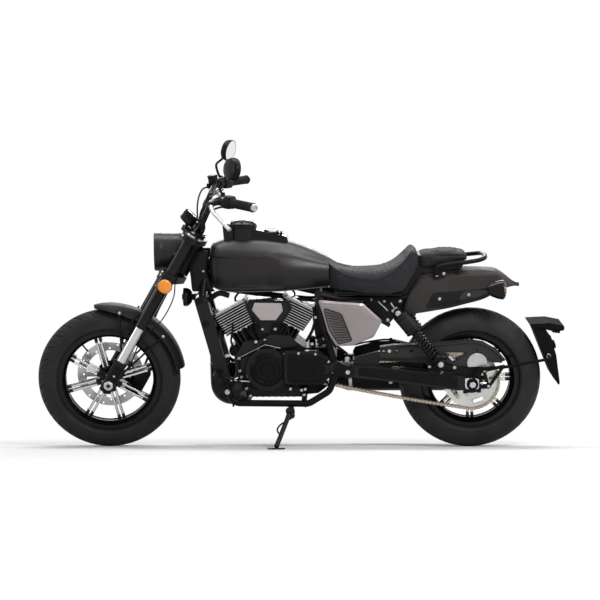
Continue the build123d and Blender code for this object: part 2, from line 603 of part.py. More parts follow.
# ---------------------------------------------------------------- swingarm, rear axle, shocks
arm_outline = shape((500, 378), (384, 372), (60, 332), (24, 326), (-26, 322), (-26, 276), (60, 270), (300, 304), (500, 326), r=6)
arm = side(arm_outline, ARM_INNER_Y, ARM_OUTER_Y) + side(Pos(*PIVOT) * Circle(23), ARM_INNER_Y, ARM_OUTER_Y)
brace = shape((498, 380), (484, 410), (400, 432), (300, 436), (200, 404), (120, 338), (400, 360), r=10)
brace -= shape((394, 372), (384, 393), (197, 385), (172, 358), r=5)
arm += side(brace, ARM_INNER_Y + 2, ARM_INNER_Y + 12)
slot = side(SlotCenterToCenter(24, 2 * (AXLE_R + RUN)), ARM_INNER_Y - 1, ARM_OUTER_Y + 1)
arm -= Pos(0, 0, AXLE_Z) * slot
shock_ear = side(pill(SHOCK_BOTTOM, (150, 352), 14, 20), ARM_INNER_Y + 6, ARM_OUTER_Y - 6)
arm += shock_ear
pivot_tube = rod((PIVOT[0], -ARM_INNER_Y, PIVOT[1]), (PIVOT[0], ARM_INNER_Y, PIVOT[1]), 20)
arms = arm + other(arm) + pivot_tube + side(shape((494, 330), (460, 330), (460, 374), (494, 374)), -ARM_INNER_Y, 60)
arms -= rod((PIVOT[0], -150, PIVOT[1]), (PIVOT[0], 150, PIVOT[1]), 9 + RUN)
shock_foot = rod((SHOCK_BOTTOM[0], ARM_OUTER_Y - 8, SHOCK_BOTTOM[1]), (SHOCK_BOTTOM[0], SHOCK_Y + 22, SHOCK_BOTTOM[1]), SHOCK_PIN_R)
arms += shock_foot
arms += other(shock_foot)
node("swingarm", arms)

rear_end = ARM_OUTER_Y + 14
rear_axle = rod((0, -rear_end, AXLE_Z), (0, rear_end, AXLE_Z), AXLE_R, AXLE_BORE)
for y, inner in ((LEFT, REAR_HUB[0][2] + 0.5), (RIGHT, 104.5)):
    rear_axle += rod((0, y * inner, AXLE_Z), (0, y * ARM_INNER_Y, AXLE_Z), SPACER_R, AXLE_BORE)
    rear_axle += rod((0, y * (ARM_OUTER_Y + 4), AXLE_Z), (0, y * (rear_end - 2), AXLE_Z), AXLE_R + 7, AXLE_BORE)
adjuster = side(Pos(0, AXLE_Z) * RectangleRounded(56, 44, 8), ARM_OUTER_Y, ARM_OUTER_Y + 4)
adjuster -= rod((0, 100, AXLE_Z), (0, 160, AXLE_Z), AXLE_R + RUN)
node("rear_axle", rear_axle, *both(adjuster))

shock_axis = (Vector(SHOCK_BOTTOM[0], 0, SHOCK_BOTTOM[1]) - Vector(SHOCK_TOP[0], 0, SHOCK_TOP[1]))
SHOCK_LENGTH = shock_axis.length
shock_place = Plane(origin=(SHOCK_TOP[0], SHOCK_Y, SHOCK_TOP[1]), x_dir=(0, 1, 0), z_dir=shock_axis)
CAN_FROM, CAN_TO, SPRING_TO = 18.0, 98.0, SHOCK_LENGTH - 32
eye = Rot(0, 90, 0) * Rot(0, 0, 40) * Cylinder(16, 22)
eye_hole = Rot(0, 90, 0) * Cylinder(SHOCK_PIN_R + RUN, 60)
body = eye + Pos(0, 0, SHOCK_LENGTH) * eye
body += rod((0, 0, CAN_FROM - 8), (0, 0, CAN_TO), 31)
body += rod((0, 0, CAN_TO), (0, 0, SHOCK_LENGTH - 10), 11)
body += rod((0, 0, SPRING_TO), (0, 0, SPRING_TO + 8), 26)
body -= eye_hole
body -= Pos(0, 0, SHOCK_LENGTH) * eye_hole
node("shock_bodies", *both(shock_place * body))

COILS = 8
coil_pitch = (SPRING_TO - CAN_TO) / COILS
coil_edge = [(11 + RUN, CAN_TO)]
for k in range(COILS):
    z = CAN_TO + k * coil_pitch
    coil_edge += [(19, z), (25, z + coil_pitch * 0.3), (25, z + coil_pitch * 0.6), (19, z + coil_pitch * 0.9)]
coil_edge += [(19, SPRING_TO), (11 + RUN, SPRING_TO)]
spring = revolve(Plane.XZ * make_face(Polyline(*coil_edge, close=True)), Axis.Z)
node("shock_springs", *both(shock_place * spring))

guard_plate = shape((384, 438), (330, 450), (177, 456), (12, 470), (-40, 462), (-96, 430), (-130, 396), (-120, 384), (-60, 396),
                    (10, 372), (60, 372), (110, 392), (180, 404), (384, 408), r=4)
guard_plate -= shape((119, 430), (28, 430), (81, 390), r=4)
for hole_x in (368, 314, 252):
    guard_plate -= Pos(hole_x, 434) * Circle(6)
GUARD_Y = ARM_INNER_Y + 12 + GAP
chain_guard = side(guard_plate, GUARD_Y, GUARD_Y + 4)
chain_guard -= rod((SHOCK_BOTTOM[0], 100, SHOCK_BOTTOM[1]), (SHOCK_BOTTOM[0], 190, SHOCK_BOTTOM[1]), 30)
guard_top = shape((384, 452), (330, 460), (177, 466), (12, 480), (-44, 471), (-102, 438), (-138, 396), (-130, 392), (-96, 430), (-40, 462),
                  (12, 470), (177, 456), (330, 450), (384, 442))
chain_guard += side(guard_top, 84, GUARD_Y + 4)
node("chain_guard", chain_guard)

# ---------------------------------------------------------------- chain: side plates round both sprockets, rollers on its runs
front_pitch, rear_pitch = pitch_radius(FRONT_TEETH), pitch_radius(REAR_TEETH)


def chain_hull(offset):
    return pill((0, AXLE_Z), OUTPUT_SHAFT, rear_pitch + offset, front_pitch + offset)


band = chain_hull(CHAIN_PLATE_H / 2) - chain_hull(-CHAIN_PLATE_H / 2)
inner = CHAIN_INNER / 2
chain = side(band, CHAIN_Y + inner, CHAIN_Y + inner + CHAIN_PLATE_T)
chain += side(band, CHAIN_Y - inner - CHAIN_PLATE_T, CHAIN_Y - inner)
run_vector = Vector(OUTPUT_SHAFT[0], OUTPUT_SHAFT[1] - AXLE_Z)
run_length = math.sqrt(run_vector.length**2 - (rear_pitch - front_pitch) ** 2)
slope = math.degrees(math.atan2(run_vector.Y, run_vector.X))
taper = math.degrees(math.asin((rear_pitch - front_pitch) / run_vector.length))
for up in (1, -1):
    normal = slope + up * (90 - taper)
    start = Vector(rear_pitch * cos(normal), AXLE_Z + rear_pitch * sin(normal))
    end = Vector(OUTPUT_SHAFT[0] + front_pitch * cos(normal), OUTPUT_SHAFT[1] + front_pitch * sin(normal))
    for k in range(4, int(run_length / PITCH) - 1, 2):
        at = start + (end - start) * (k * PITCH / run_length)
        chain += rod((at.X, CHAIN_Y - inner - 0.5, at.Y), (at.X, CHAIN_Y + inner + 0.5, at.Y), ROLLER_R)
node("drive_chain", chain)

# ---------------------------------------------------------------- engine
case_outline = shape((690, 300), (700, 236), (925, 236), (985, 330), (992, 400), (950, 470), (880, 478), (840, 500), (760, 492),
                     (690, 440), r=12)
gearbox = shape((700, 440), (600, 440), (562, 400), (572, 300), (640, 246), (700, 240), r=10)
case = side(case_outline, -CASE_HALF, CASE_HALF) + side(gearbox, -CASE_HALF, 70)
case += rod((OUTPUT_SHAFT[0], 60, OUTPUT_SHAFT[1]), (OUTPUT_SHAFT[0], 104, OUTPUT_SHAFT[1]), 12)
case += rod((OUTPUT_SHAFT[0], CHAIN_Y - 4, OUTPUT_SHAFT[1]), (OUTPUT_SHAFT[0], CHAIN_Y + 4, OUTPUT_SHAFT[1]), front_pitch - 6)
case -= NODES["frame_cradle"]
case -= rod((PIVOT[0], -150, PIVOT[1]), (PIVOT[0], 150, PIVOT[1]), 24)


def foot_rim(c, way):
    """X of the rim of a cylinder's foot, ahead of its axis (way 1) or behind it (way -1)."""
    return c["top"][0] - c["foot"] * sin(c["tilt"]) + way * FLANGE_R * cos(c["tilt"])


def cylinder(c):
    """A finned barrel on the case: plates of changing width on a round core."""
    x, z = c["top"]
    place = Plane(origin=(x, 0, z), x_dir=(cos(c["tilt"]), 0, -sin(c["tilt"])), z_dir=(sin(c["tilt"]), 0, cos(c["tilt"])))
    solid = rod((0, 0, -c["foot"]), (0, 0, -1), BARREL_R)
    solid += rod((0, 0, -c["foot"]), (0, 0, -c["foot"] + 24), FLANGE_R)
    step = (FIN_BLOCK - FIN_T) / (FIN_COUNT - 1)
    for k in range(FIN_COUNT):
        width = c["wide"] + (c["narrow"] - c["wide"]) * k / (FIN_COUNT - 1)
        solid += Pos(0, 0, -FIN_T - k * step) * extrude(RectangleRounded(width, 2 * FIN_HALF_Y, 14), FIN_T)
    return place * solid


cylinders = {name: cylinder(c) for name, c in CYLINDERS.items()}
# flats on the two feet keep them apart
feet_middle = (foot_rim(CYLINDERS["front"], -1) + foot_rim(CYLINDERS["rear"], 1)) / 2
cylinders["front"] -= Pos(feet_middle + GAP / 2 - 100, 0, CRANK[1] + 100) * Box(200, 200, 200)
cylinders["rear"] -= Pos(feet_middle - GAP / 2 + 100, 0, CRANK[1] + 100) * Box(200, 200, 200)
case -= list(cylinders.values())
node("crankcase", case)
for name, solid in cylinders.items():
    node(name + "_cylinder", solid)

stator = rod((CRANK[0], CASE_HALF, CRANK[1]), (CRANK[0], CASE_HALF + 34, CRANK[1]), 88)
stator += rod((CRANK[0], CASE_HALF + 34, CRANK[1]), (CRANK[0], CASE_HALF + 46, CRANK[1]), 64)
stator = chamfer(stator.faces().sort_by(Axis.Y)[-1].edges(), 6)
sprocket_cover = shape((790, 440), (636, 436), (590, 410), (566, 366), (590, 312), (634, 290), (790, 290), r=22)
cover_solid = side(sprocket_cover, CASE_HALF, CASE_HALF + 40)
cover_solid = chamfer(cover_solid.faces().sort_by(Axis.Y)[-1].edges(), 7)
cover_solid -= side(shape((690, 428), (600, 428), (540, 366), (570, 270), (690, 270)), CASE_HALF - 1, CASE_HALF + 16)
cover_solid += side(Pos(622, 362) * Ellipse(46, 24), CASE_HALF + 38, CASE_HALF + 44)
covers = stator + cover_solid
clutch = rod((800, -CASE_HALF, 352), (800, -CASE_HALF - 38, 352), 104)
clutch += rod((800, -CASE_HALF - 38, 352), (800, -CASE_HALF - 46, 352), 72)
node("engine_covers", covers - NODES["frame_cradle"], clutch - NODES["frame_cradle"])

intake_face = shape((929, 647), (760, 647), (750, 609), (786, 555), (897, 555), (938, 609), r=5)
intake = side(intake_face, FIN_HALF_Y + GAP, 108)
intake += side(shape((815, 642), (908, 642), (888, 560), (870, 505), (846, 505), (826, 560)), -84, FIN_HALF_Y + GAP)
intake -= list(cylinders.values())
intake_plate = shape((908, 642), (781, 642), (775, 622), (797, 576), (888, 576), (912, 622), r=3)
node("intake_cover", intake, side(intake_plate, 108, 113))

bend = pipe([(1052, 42, 400), (1052, 42, 232), (900, 20, 232)], 66, 42)
bend -= side(shape((925, 100), (925, 330), (700, 330), (700, 100)), -200, 200)
port = pipe([(1030, 30, 530), (1066, 40, 500), (1056, 42, 400)], 30, 21)
crossover = pipe([(966, 20, 236), (966, -172, 262), (560, -184, 252)], 44, 20)
muffler = revolve(Plane.XY * make_face(Polyline((0, 0), (0, 30), (60, 50), (470, 50), (500, 40), (500, 0), close=True)), Axis.X)
muffler = Plane(origin=(570, -184, 252), x_dir=(-1, 0, 0.04), z_dir=(0, 0, 1)) * muffler
exhaust = bend + port + crossover + muffler
exhaust -= [NODES["frame_cradle"][0], NODES["crankcase"][0], cylinders["front"], *NODES["front_spars"]]
exhaust = exhaust.solids().sort_by(SortBy.VOLUME)[-1]
node("exhaust", exhaust)

spar_angle = math.degrees(math.atan2(spar_dir.X, spar_dir.Y))
radiator = Pos(1090, 0, 520) * Rot(0, spar_angle, 0) * (Box(30, 2 * (SPAR_IN - GAP), 210) + Pos(0, 0, 112) * Box(38, 160, 22) +
                                                         Pos(0, 0, -112) * Box(38, 160, 22))
radiator -= cylinders["front"]
radiator -= exhaust
node("radiator", radiator)

cowl = shape((1094, 846), (1150, 838), (1176, 790), (1166, 676), (1066, 688), (1092, 712), r=6)
cowl_solid = side(cowl, 44, 72)
cowl_solid = chamfer(cowl_solid.faces().sort_by(Axis.Y)[-1].edges(), 6)
cowls = [c - list(NODES["front_spars"]) - NODES["frame_spine"][0] for c in both(cowl_solid)]
node("radiator_cowls", *cowls)

horn = rod((1190, 0, 645), (1206, 0, 645), 38)
horn += rod((1176, 0, 645), (1190, 0, 645), 22)
horn += rod((1180, 0, 642), (1124, 0, 628), 7)
node("horn", horn - radiator)

# ---------------------------------------------------------------- tank, console, cap
# sections along the tank: X, bottom Z and half width, widest Z and half width, shoulder Z and half width, top Z
TANK = [
    (1088, 716, 50, 780, 74, 846, 50, 862),
    (1066, 694, 78, 770, 108, 858, 72, 880),
    (1010, 682, 96, 768, 134, 868, 84, 899),
    (880, 682, 98, 772, 142, 870, 86, 902),
    (740, 688, 92, 772, 136, 852, 78, 878),
    (594, 698, 70, 760, 104, 806, 62, 818),
]


def tank_section(x, zb, wb, zc, w, zs, ws, zt):
    bulge = ((w + ws) / 2 + 8, (zc + zs) / 2 + 8)
    points = [
        Line((-wb, zb), (wb, zb)),
        Line((wb, zb), (w, zc)),
        ThreePointArc((w, zc), bulge, (ws, zs)),
        ThreePointArc((ws, zs), (0, zt), (-ws, zs)),
        ThreePointArc((-ws, zs), (-bulge[0], bulge[1]), (-w, zc)),
        Line((-w, zc), (-wb, zb)),
    ]
    return Plane(origin=(x, 0, 0), x_dir=(0, 1, 0), z_dir=(1, 0, 0)) * make_face(points)


tank = loft([tank_section(*row) for row in TANK])
tunnel = shape((1120, 600), (1120, 822), (CEILING_HIGH.X, CEILING_HIGH.Z), (CEILING_LOW.X, CEILING_LOW.Z), (560, 600))
tank -= side(tunnel, -36, 36)
tank -= rod(HEAD_LOW, HEAD_HIGH, HEAD_R + 12)
node("fuel_tank", tank)

console_face = shape((1036, 952), (1012, 958), (770, 904), (764, 880), (1030, 880), r=4)
console = side(console_face, -46, 46)
DOME_X = 955.0
console += rod((DOME_X, 0, 880), (DOME_X, 0, 950), 60)
console += Pos(DOME_X, 0, 950) * scale(Sphere(60, 0, 90), (1, 1, 0.35))
CAP_X, CAP_R = 835.0, 31.0
cap_seat = 921.0
console += rod((CAP_X, 0, 880), (CAP_X, 0, cap_seat), CAP_R + 5)
hinge_x = CAP_X - CAP_R - 10
console -= tank
console = console.solids().sort_by(SortBy.VOLUME)[-1]
hinge_box = Pos(hinge_x - 2, 0, cap_seat) * Box(22, 60, 30)
console -= hinge_box
for y in (LEFT, RIGHT):
    console += Pos(hinge_x, y * 20, cap_seat - 8) * Box(8, 8, 24)
console -= rod((CAP_X, 0, cap_seat), (CAP_X, 0, cap_seat + 40), CAP_R + 2)
console -= rod((hinge_x, -40, cap_seat + 4), (hinge_x, 40, cap_seat + 4), 3 + RUN)
console -= tank
node("tank_console", console.solids().sort_by(SortBy.VOLUME)[-1])
cap = rod((CAP_X, 0, cap_seat + GAP), (CAP_X, 0, cap_seat + 9), CAP_R)
cap += Pos((CAP_X + hinge_x) / 2 - 8, 0, cap_seat + 5) * Box(26, 22, 6)
cap += rod((hinge_x, -23, cap_seat + 4), (hinge_x, 23, cap_seat + 4), 3)
node("fuel_cap", cap)

# ---------------------------------------------------------------- seats and rear bodywork
seat_side = make_face([
    Line((291, 677), (575, 689)),
    Line((575, 689), (600, 806)),
    ThreePointArc((600, 806), (560, 776), (500, 768)),
    Line((500, 768), (400, 772)),
    ThreePointArc((400, 772), (300, 806), (252, 859)),
    Line((252, 859), (226, 844)),
    Line((226, 844), (242, 770)),
    Line((242, 770), (291, 677)),
])
rider = side(seat_side, -150, 150)
rider &= plan(shape((610, 66), (560, 112), (440, 148), (300, 150), (215, 120), (215, -120), (300, -150), (440, -148), (560, -112), (610, -66)), 600, 900)
rider -= tank
rider -= list(NODES["subframe"])
rider -= list(NODES["frame_spine"])
node("rider_seat", rider.solids().sort_by(SortBy.VOLUME)[-1])
pillion = side(shape((204, 844), (44, 846), (24, 832), (22, 811), (222, 778), r=5), -98, 98)
pillion += side(shape((210, 790), (40, 816), (60, 768.5), (90, 769), (204, 750)), -72, 72)
node("pillion_seat", pillion - list(NODES["rider_seat"]))

fender_side = shape((284, 604), (262, 672), (216, 748), (90, 769), (-97, 766), (-204, 698), (-135, 690), (-66, 656), (227, 590))
fender_inner = shape((292, 560), (272, 610), (252, 672), (208, 742), (90, 764), (-95, 761), (-150, 724), (-128, 694), (-62, 640), (227, 500))
fender = side(fender_side, -104, 104)
fender &= plan(shape((300, 104), (0, 100), (-120, 72), (-210, 10), (-210, -10), (-120, -72), (0, -100), (300, -104)), 500, 800)
fender -= side(fender_inner, -200, 200) & plan(shape((310, 100), (0, 96), (-118, 68), (-118, -68), (0, -96), (310, -100)), 400, 800)
fender -= side(shape((300, 700), (262, 672), (292, 560)), -92, 92)
fender -= list(NODES["subframe"])
fender -= list(NODES["rider_seat"])
fender -= pillion
node("rear_fender", fender.solids().sort_by(SortBy.VOLUME)[-1])

lamp = side(shape((-112, 706), (-136, 692), (-146, 672), (-116, 672), r=3), -46, 46)
node("tail_light", lamp - NODES["rear_fender"][0])

rear_signal = revolve(make_face(Polyline((-56, 0), (-60, 20), (-118, 40), (-118, 0), close=True)), Axis.X)
rear_lens = revolve(make_face(Polyline((-118, 0), (-118, 39), (-126, 36), (-131, 0), close=True)), Axis.X)
signal_arm = rod((-84, 0, 0), (-84, -71, 12), 8)
signal_at = Pos(0, 152, 697)
node("rear_turn_signals", *both(signal_at * (rear_signal + signal_arm) - NODES["rear_fender"][0], signal_at * rear_lens))

rail_loop = [(150, -112, 750), (150, -112, 790), (30, -116, 806), (-48, -84, 818), (-48, 84, 818), (30, 116, 806), (150, 112, 790), (150, 112, 750)]
grab = pipe(rail_loop, 16, 9)
for y in (LEFT, RIGHT):
    grab += rod((150, y * 114, 754), (150, y * (102 + GAP), 754), 8)
node("grab_rail", grab)

cover_face = shape((640, 655), (560, 645), (448, 630), (378, 559), (410, 500), (555, 446), (596, 500), r=9)
side_cover = side(cover_face, RAIL_Y + RAIL_R + GAP, RAIL_Y + RAIL_R + 16)
side_cover = chamfer(side_cover.faces().sort_by(Axis.Y)[-1].edges(), 5)
node("side_covers", *both(side_cover))

# ---------------------------------------------------------------- plate holder, foot controls, rear caliper
arm_y = rear_end - 1
holder_arm = side(pill(ARM_END, (-23, 366), 24, 14) + pill((-23, 366), (-150, 374), 13, 11) + pill((-150, 374), (-312, 404), 11, 9), arm_y, arm_y + 7)
holder_arm -= rod((0, 100, AXLE_Z), (0, 200, AXLE_Z), AXLE_R + RUN)
holder_arm += rod((-312, arm_y + 3, 404), (-312, -70, 404), 8)
flap = side(shape((-236, 540), (-250, 534), (-304, 404), (-340, 318), (-367, 282), (-372, 290), (-354, 410), (-335, 480), (-340, 512), (-381, 514),
                  (-384, 534), (-320, 546)), -84, 84)
PLATE_LOW, PLATE_HIGH = Vector(-372, 0, 290), Vector(-354, 0, 410)
PLATE_HOLE_Y, PLATE_HOLE_R = 75.0, 3.3
PLATE_MID = (PLATE_LOW + PLATE_HIGH) * 0.5
plate_normal = Vector(PLATE_LOW.Z - PLATE_HIGH.Z, 0, PLATE_HIGH.X - PLATE_LOW.X).normalized()
for y in (LEFT, RIGHT):
    hole_at = PLATE_MID + Y_AXIS * (y * PLATE_HOLE_Y)
    flap -= rod(hole_at - plate_normal * 14, hole_at + plate_normal * 5, PLATE_HOLE_R)
node("plate_holder", holder_arm + flap)

PEG = (972.0, 300.0)
PEG_ROOT = (1018.0, 268.0)
peg = side(pill(PEG_ROOT, PEG, 12, 12), RAIL_Y + RAIL_R, RAIL_Y + RAIL_R + 10)
peg += rod((PEG_ROOT[0], 106, PEG_ROOT[1]), (PEG_ROOT[0], RAIL_Y + RAIL_R + 5, PEG_ROOT[1]), 11)
peg += rod((PEG[0], RAIL_Y + RAIL_R, PEG[1]), (PEG[0], 298, PEG[1]), 13)
foot_lever = side(pill(PEG, (1064, 346), 12, 8), 160, 168) + rod((1064, 160, 346), (1064, 226, 346), 8)
node("foot_controls", *[p - NODES["frame_cradle"][0] - list(NODES["front_spars"]) for p in both(peg + foot_lever)])

caliper_bracket = side(pill(ARM_END, (-66, 372), 24, 20), -100, -104.5)
caliper_bracket -= rod((0, -150, AXLE_Z), (0, 0, AXLE_Z), AXLE_R + RUN)
caliper_rear = side(Pos(-72, 380) * Rot(0, 0, 48) * RectangleRounded(90, 58, 10), -108, -72)
caliper_rear -= side(Pos(*ARM_END) * Circle(REAR_DISC["r"] + 3), REAR_DISC["y"] - 5, REAR_DISC["y"] + 5)
caliper_rear -= side(Pos(*ARM_END) * Circle(84), -99.9, -60)
node("rear_caliper", caliper_rear + caliper_bracket)

# ---------------------------------------------------------------- write each node as it stands
if __name__ == "__main__":
    os.makedirs("parts", exist_ok=True)
    for name, solids in NODES.items():
        if name in STEERS:
            solids = [s.rotate(STEM_AXIS, STEER_REST) for s in solids]
        export_step(Compound(children=[PLACE * s for s in solids]), f"parts/{name}.step")
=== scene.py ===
"""Looks of the cruiser motorcycle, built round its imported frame.

Pieces are drawn in millimetres on the upright machine, as the frame's own parts are: X forward from the rear axle,
Y to the left, Z up. Fork pieces are drawn along the fork. The matrices below lean and steer them into place.
"""

import json
import math

import bmesh
import bpy
import numpy as np
from mathutils import Matrix, Vector

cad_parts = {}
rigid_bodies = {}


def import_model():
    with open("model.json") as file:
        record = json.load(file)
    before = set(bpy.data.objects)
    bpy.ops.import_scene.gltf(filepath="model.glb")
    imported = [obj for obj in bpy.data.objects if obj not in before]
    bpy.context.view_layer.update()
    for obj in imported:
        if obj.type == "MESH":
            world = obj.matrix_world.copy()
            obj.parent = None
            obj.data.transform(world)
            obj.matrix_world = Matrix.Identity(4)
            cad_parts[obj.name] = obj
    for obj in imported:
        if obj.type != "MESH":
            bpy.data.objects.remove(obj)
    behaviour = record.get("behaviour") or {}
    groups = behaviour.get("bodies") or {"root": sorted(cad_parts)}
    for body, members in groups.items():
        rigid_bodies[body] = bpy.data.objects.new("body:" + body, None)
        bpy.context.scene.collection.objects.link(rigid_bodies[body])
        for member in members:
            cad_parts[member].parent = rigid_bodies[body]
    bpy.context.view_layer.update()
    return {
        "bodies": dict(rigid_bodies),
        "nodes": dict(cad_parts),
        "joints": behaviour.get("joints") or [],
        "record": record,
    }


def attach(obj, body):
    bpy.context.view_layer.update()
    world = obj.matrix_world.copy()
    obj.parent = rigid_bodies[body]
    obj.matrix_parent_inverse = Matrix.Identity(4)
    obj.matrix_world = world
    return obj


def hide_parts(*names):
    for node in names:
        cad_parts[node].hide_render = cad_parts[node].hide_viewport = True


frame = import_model()
nodes = frame["nodes"]

# ---------------------------------------------------------------- how the machine stands
WHEELBASE, TYRE_R, RAKE, STEM_BACK = 1525.0, 299.0, 30.0, 45.0
LEAN, STEER_REST = 11.5, 5.5
MIDDLE = (720.0, 185.5)  # the point that stands over the origin
CROWN = {"front": 60.0, "rear": 75.0}  # radius of each tyre's section
LEFT, RIGHT = SIDES = 1, -1
UP, DOWN = (0, 0, 1), (0, 0, -1)
AHEAD, BACK = (1, 0, 0), (-1, 0, 0)
TO_LEFT, TO_RIGHT = (0, 1, 0), (0, -1, 0)
MM = 0.001  # the scene is in metres


def turn(axis, degrees):
    return Matrix.Rotation(math.radians(degrees), 4, axis)


def shift(x, y, z):
    return Matrix.Translation((x, y, z))


def sin(a):
    return math.sin(math.radians(a))


def cos(a):
    return math.cos(math.radians(a))


FORK = shift(WHEELBASE, 0, TYRE_R) @ turn("Y", -RAKE)
stem = FORK @ Vector((-STEM_BACK, 0, 0))
STEER = Matrix.Translation(stem) @ turn(Vector((-sin(RAKE), 0, cos(RAKE))), STEER_REST) @ Matrix.Translation(-stem)


def standing():
    """Leans the machine, pitches it until both tyres touch the floor, and centres it."""
    hub = STEER @ Vector((WHEELBASE, 0, TYRE_R))
    spin = STEER @ Vector((WHEELBASE, 1, TYRE_R)) - hub
    wheels = ((Vector((0, 0, TYRE_R)), Vector(TO_LEFT), CROWN["rear"]), (hub, spin, CROWN["front"]))
    pitch = 0.0
    for _ in range(4):  # the pitch has settled by then
        tilt = turn("Y", pitch) @ turn("X", -LEAN)
        heights = []
        for axle, axis, crown in wheels:
            rise = (tilt @ axis).z
            heights.append((tilt @ axle).z - (TYRE_R - crown) * math.sqrt(1 - rise**2) - crown)
        pitch += math.degrees((heights[1] - heights[0]) / WHEELBASE)
    return shift(-MIDDLE[0], -MIDDLE[1], -heights[0]) @ tilt


BIKE = Matrix.Scale(MM, 4) @ standing()
TURNED = BIKE @ STEER
LEGS = TURNED @ FORK
FRONT_HUB = TURNED @ shift(WHEELBASE, 0, TYRE_R)
REAR_HUB = BIKE @ shift(0, 0, TYRE_R)


# ---------------------------------------------------------------- outlines and paths
def bend(a, b, c, t):
    """The point at t, 0 to 1, of the curve from a to c that leans towards b."""
    return a * (1 - t) ** 2 + b * 2 * t * (1 - t) + c * t**2


def rounded(points, r, steps=5):
    """A closed outline with each corner rounded to r."""
    out, count = [], len(points)
    for k in range(count):
        a, b, c = (Vector(points[(k + d) % count]) for d in (-1, 0, 1))
        u, v = (a - b), (c - b)
        angle = u.angle(v)
        cut = r / math.tan(angle / 2) if angle > 0.01 else 0
        cut = min(cut, u.length * 0.48, v.length * 0.48)  # two neighbours share a side
        if cut < 0.05 or angle > 3.1:  # too little to round, or no corner
            out.append(b)
            continue
        p, q = b + u.normalized() * cut, b + v.normalized() * cut
        out += [bend(p, b, q, i / steps) for i in range(steps + 1)]
    return [(p.x, p.y) for p in out]


def oblong(x0, y0, x1, y1):
    return [(x0, y0), (x1, y0), (x1, y1), (x0, y1)]


def pill(a, b, ra, rb, steps=12):
    """The outline round two circles and the straight sides that join them."""
    a, b = Vector(a), Vector(b)
    gap = b - a
    heading = math.atan2(gap.y, gap.x)
    spread = math.acos(max(-1, min(1, (ra - rb) / gap.length)))
    out = []
    for centre, r, start, sweep in (
        (a, ra, heading + spread, 2 * math.pi - 2 * spread),
        (b, rb, heading - spread, 2 * spread),
    ):
        for i in range(steps + 1):
            t = start + sweep * i / steps
            out.append((centre.x + r * math.cos(t), centre.y + r * math.sin(t)))
    return out


def circle(r, count, start=0, at=(0, 0)):
    """Points spaced evenly round a circle, the first at the start angle in degrees."""
    return [(at[0] + r * cos(a), at[1] + r * sin(a)) for a in (start + k * 360 / count for k in range(count))]


def angles(count):
    """Angles evenly round a full turn, in radians."""
    return [2 * math.pi * i / count for i in range(count)]


def shrunk(outline, centre, across, along):
    """The outline with its distances from the centre multiplied, by one factor for each axis."""
    cx, cz = centre
    return [(cx + (x - cx) * across, cz + (z - cz) * along) for x, z in outline]


def scaled(outline, factor):
    """The outline made smaller or larger about the mean of its points."""
    return shrunk(outline, [sum(values) / len(outline) for values in zip(*outline)], factor, factor)


def smooth(points, steps=8, closed=False):
    """Points of a smooth curve through the given ones."""
    p = [Vector(q) for q in points]
    n, out = len(p), []
    for k in range(n if closed else n - 1):
        a, b = p[k], p[(k + 1) % n]
        before = p[k - 1] if closed or k else a * 2 - b
        after = p[(k + 2) % n] if closed or k + 2 < n else b * 2 - a
        square, cube = 2 * before - 5 * a + 4 * b - after, 3 * a - before - 3 * b + after
        for i in range(steps):
            t = i / steps
            out.append(0.5 * ((2 * a) + (b - before) * t + square * t**2 + cube * t**3))
    return out if closed else out + [p[-1]]


def moves(start, *steps):
    """Points that lie the given steps away from one point."""
    return [start + Vector(step) for step in steps]


def both_sides(x, half):
    """A section across the machine at x, from its left half of (Y, Z) that ends on the middle plane."""
    return [(x, y, z) for y, z in half] + [(x, -y, z) for y, z in reversed(half[:-1])]


# ---------------------------------------------------------------- mesh making
MERGE = 2e-6  # metres: corners nearer than this become one
BEVEL_ANGLE, BEVEL_SEGMENTS = 35, 2  # degrees between faces from which an edge is bevelled


def placed(name, data):
    """A new object, linked to the scene."""
    obj = bpy.data.objects.new(name, data)
    bpy.context.scene.collection.objects.link(obj)
    return obj


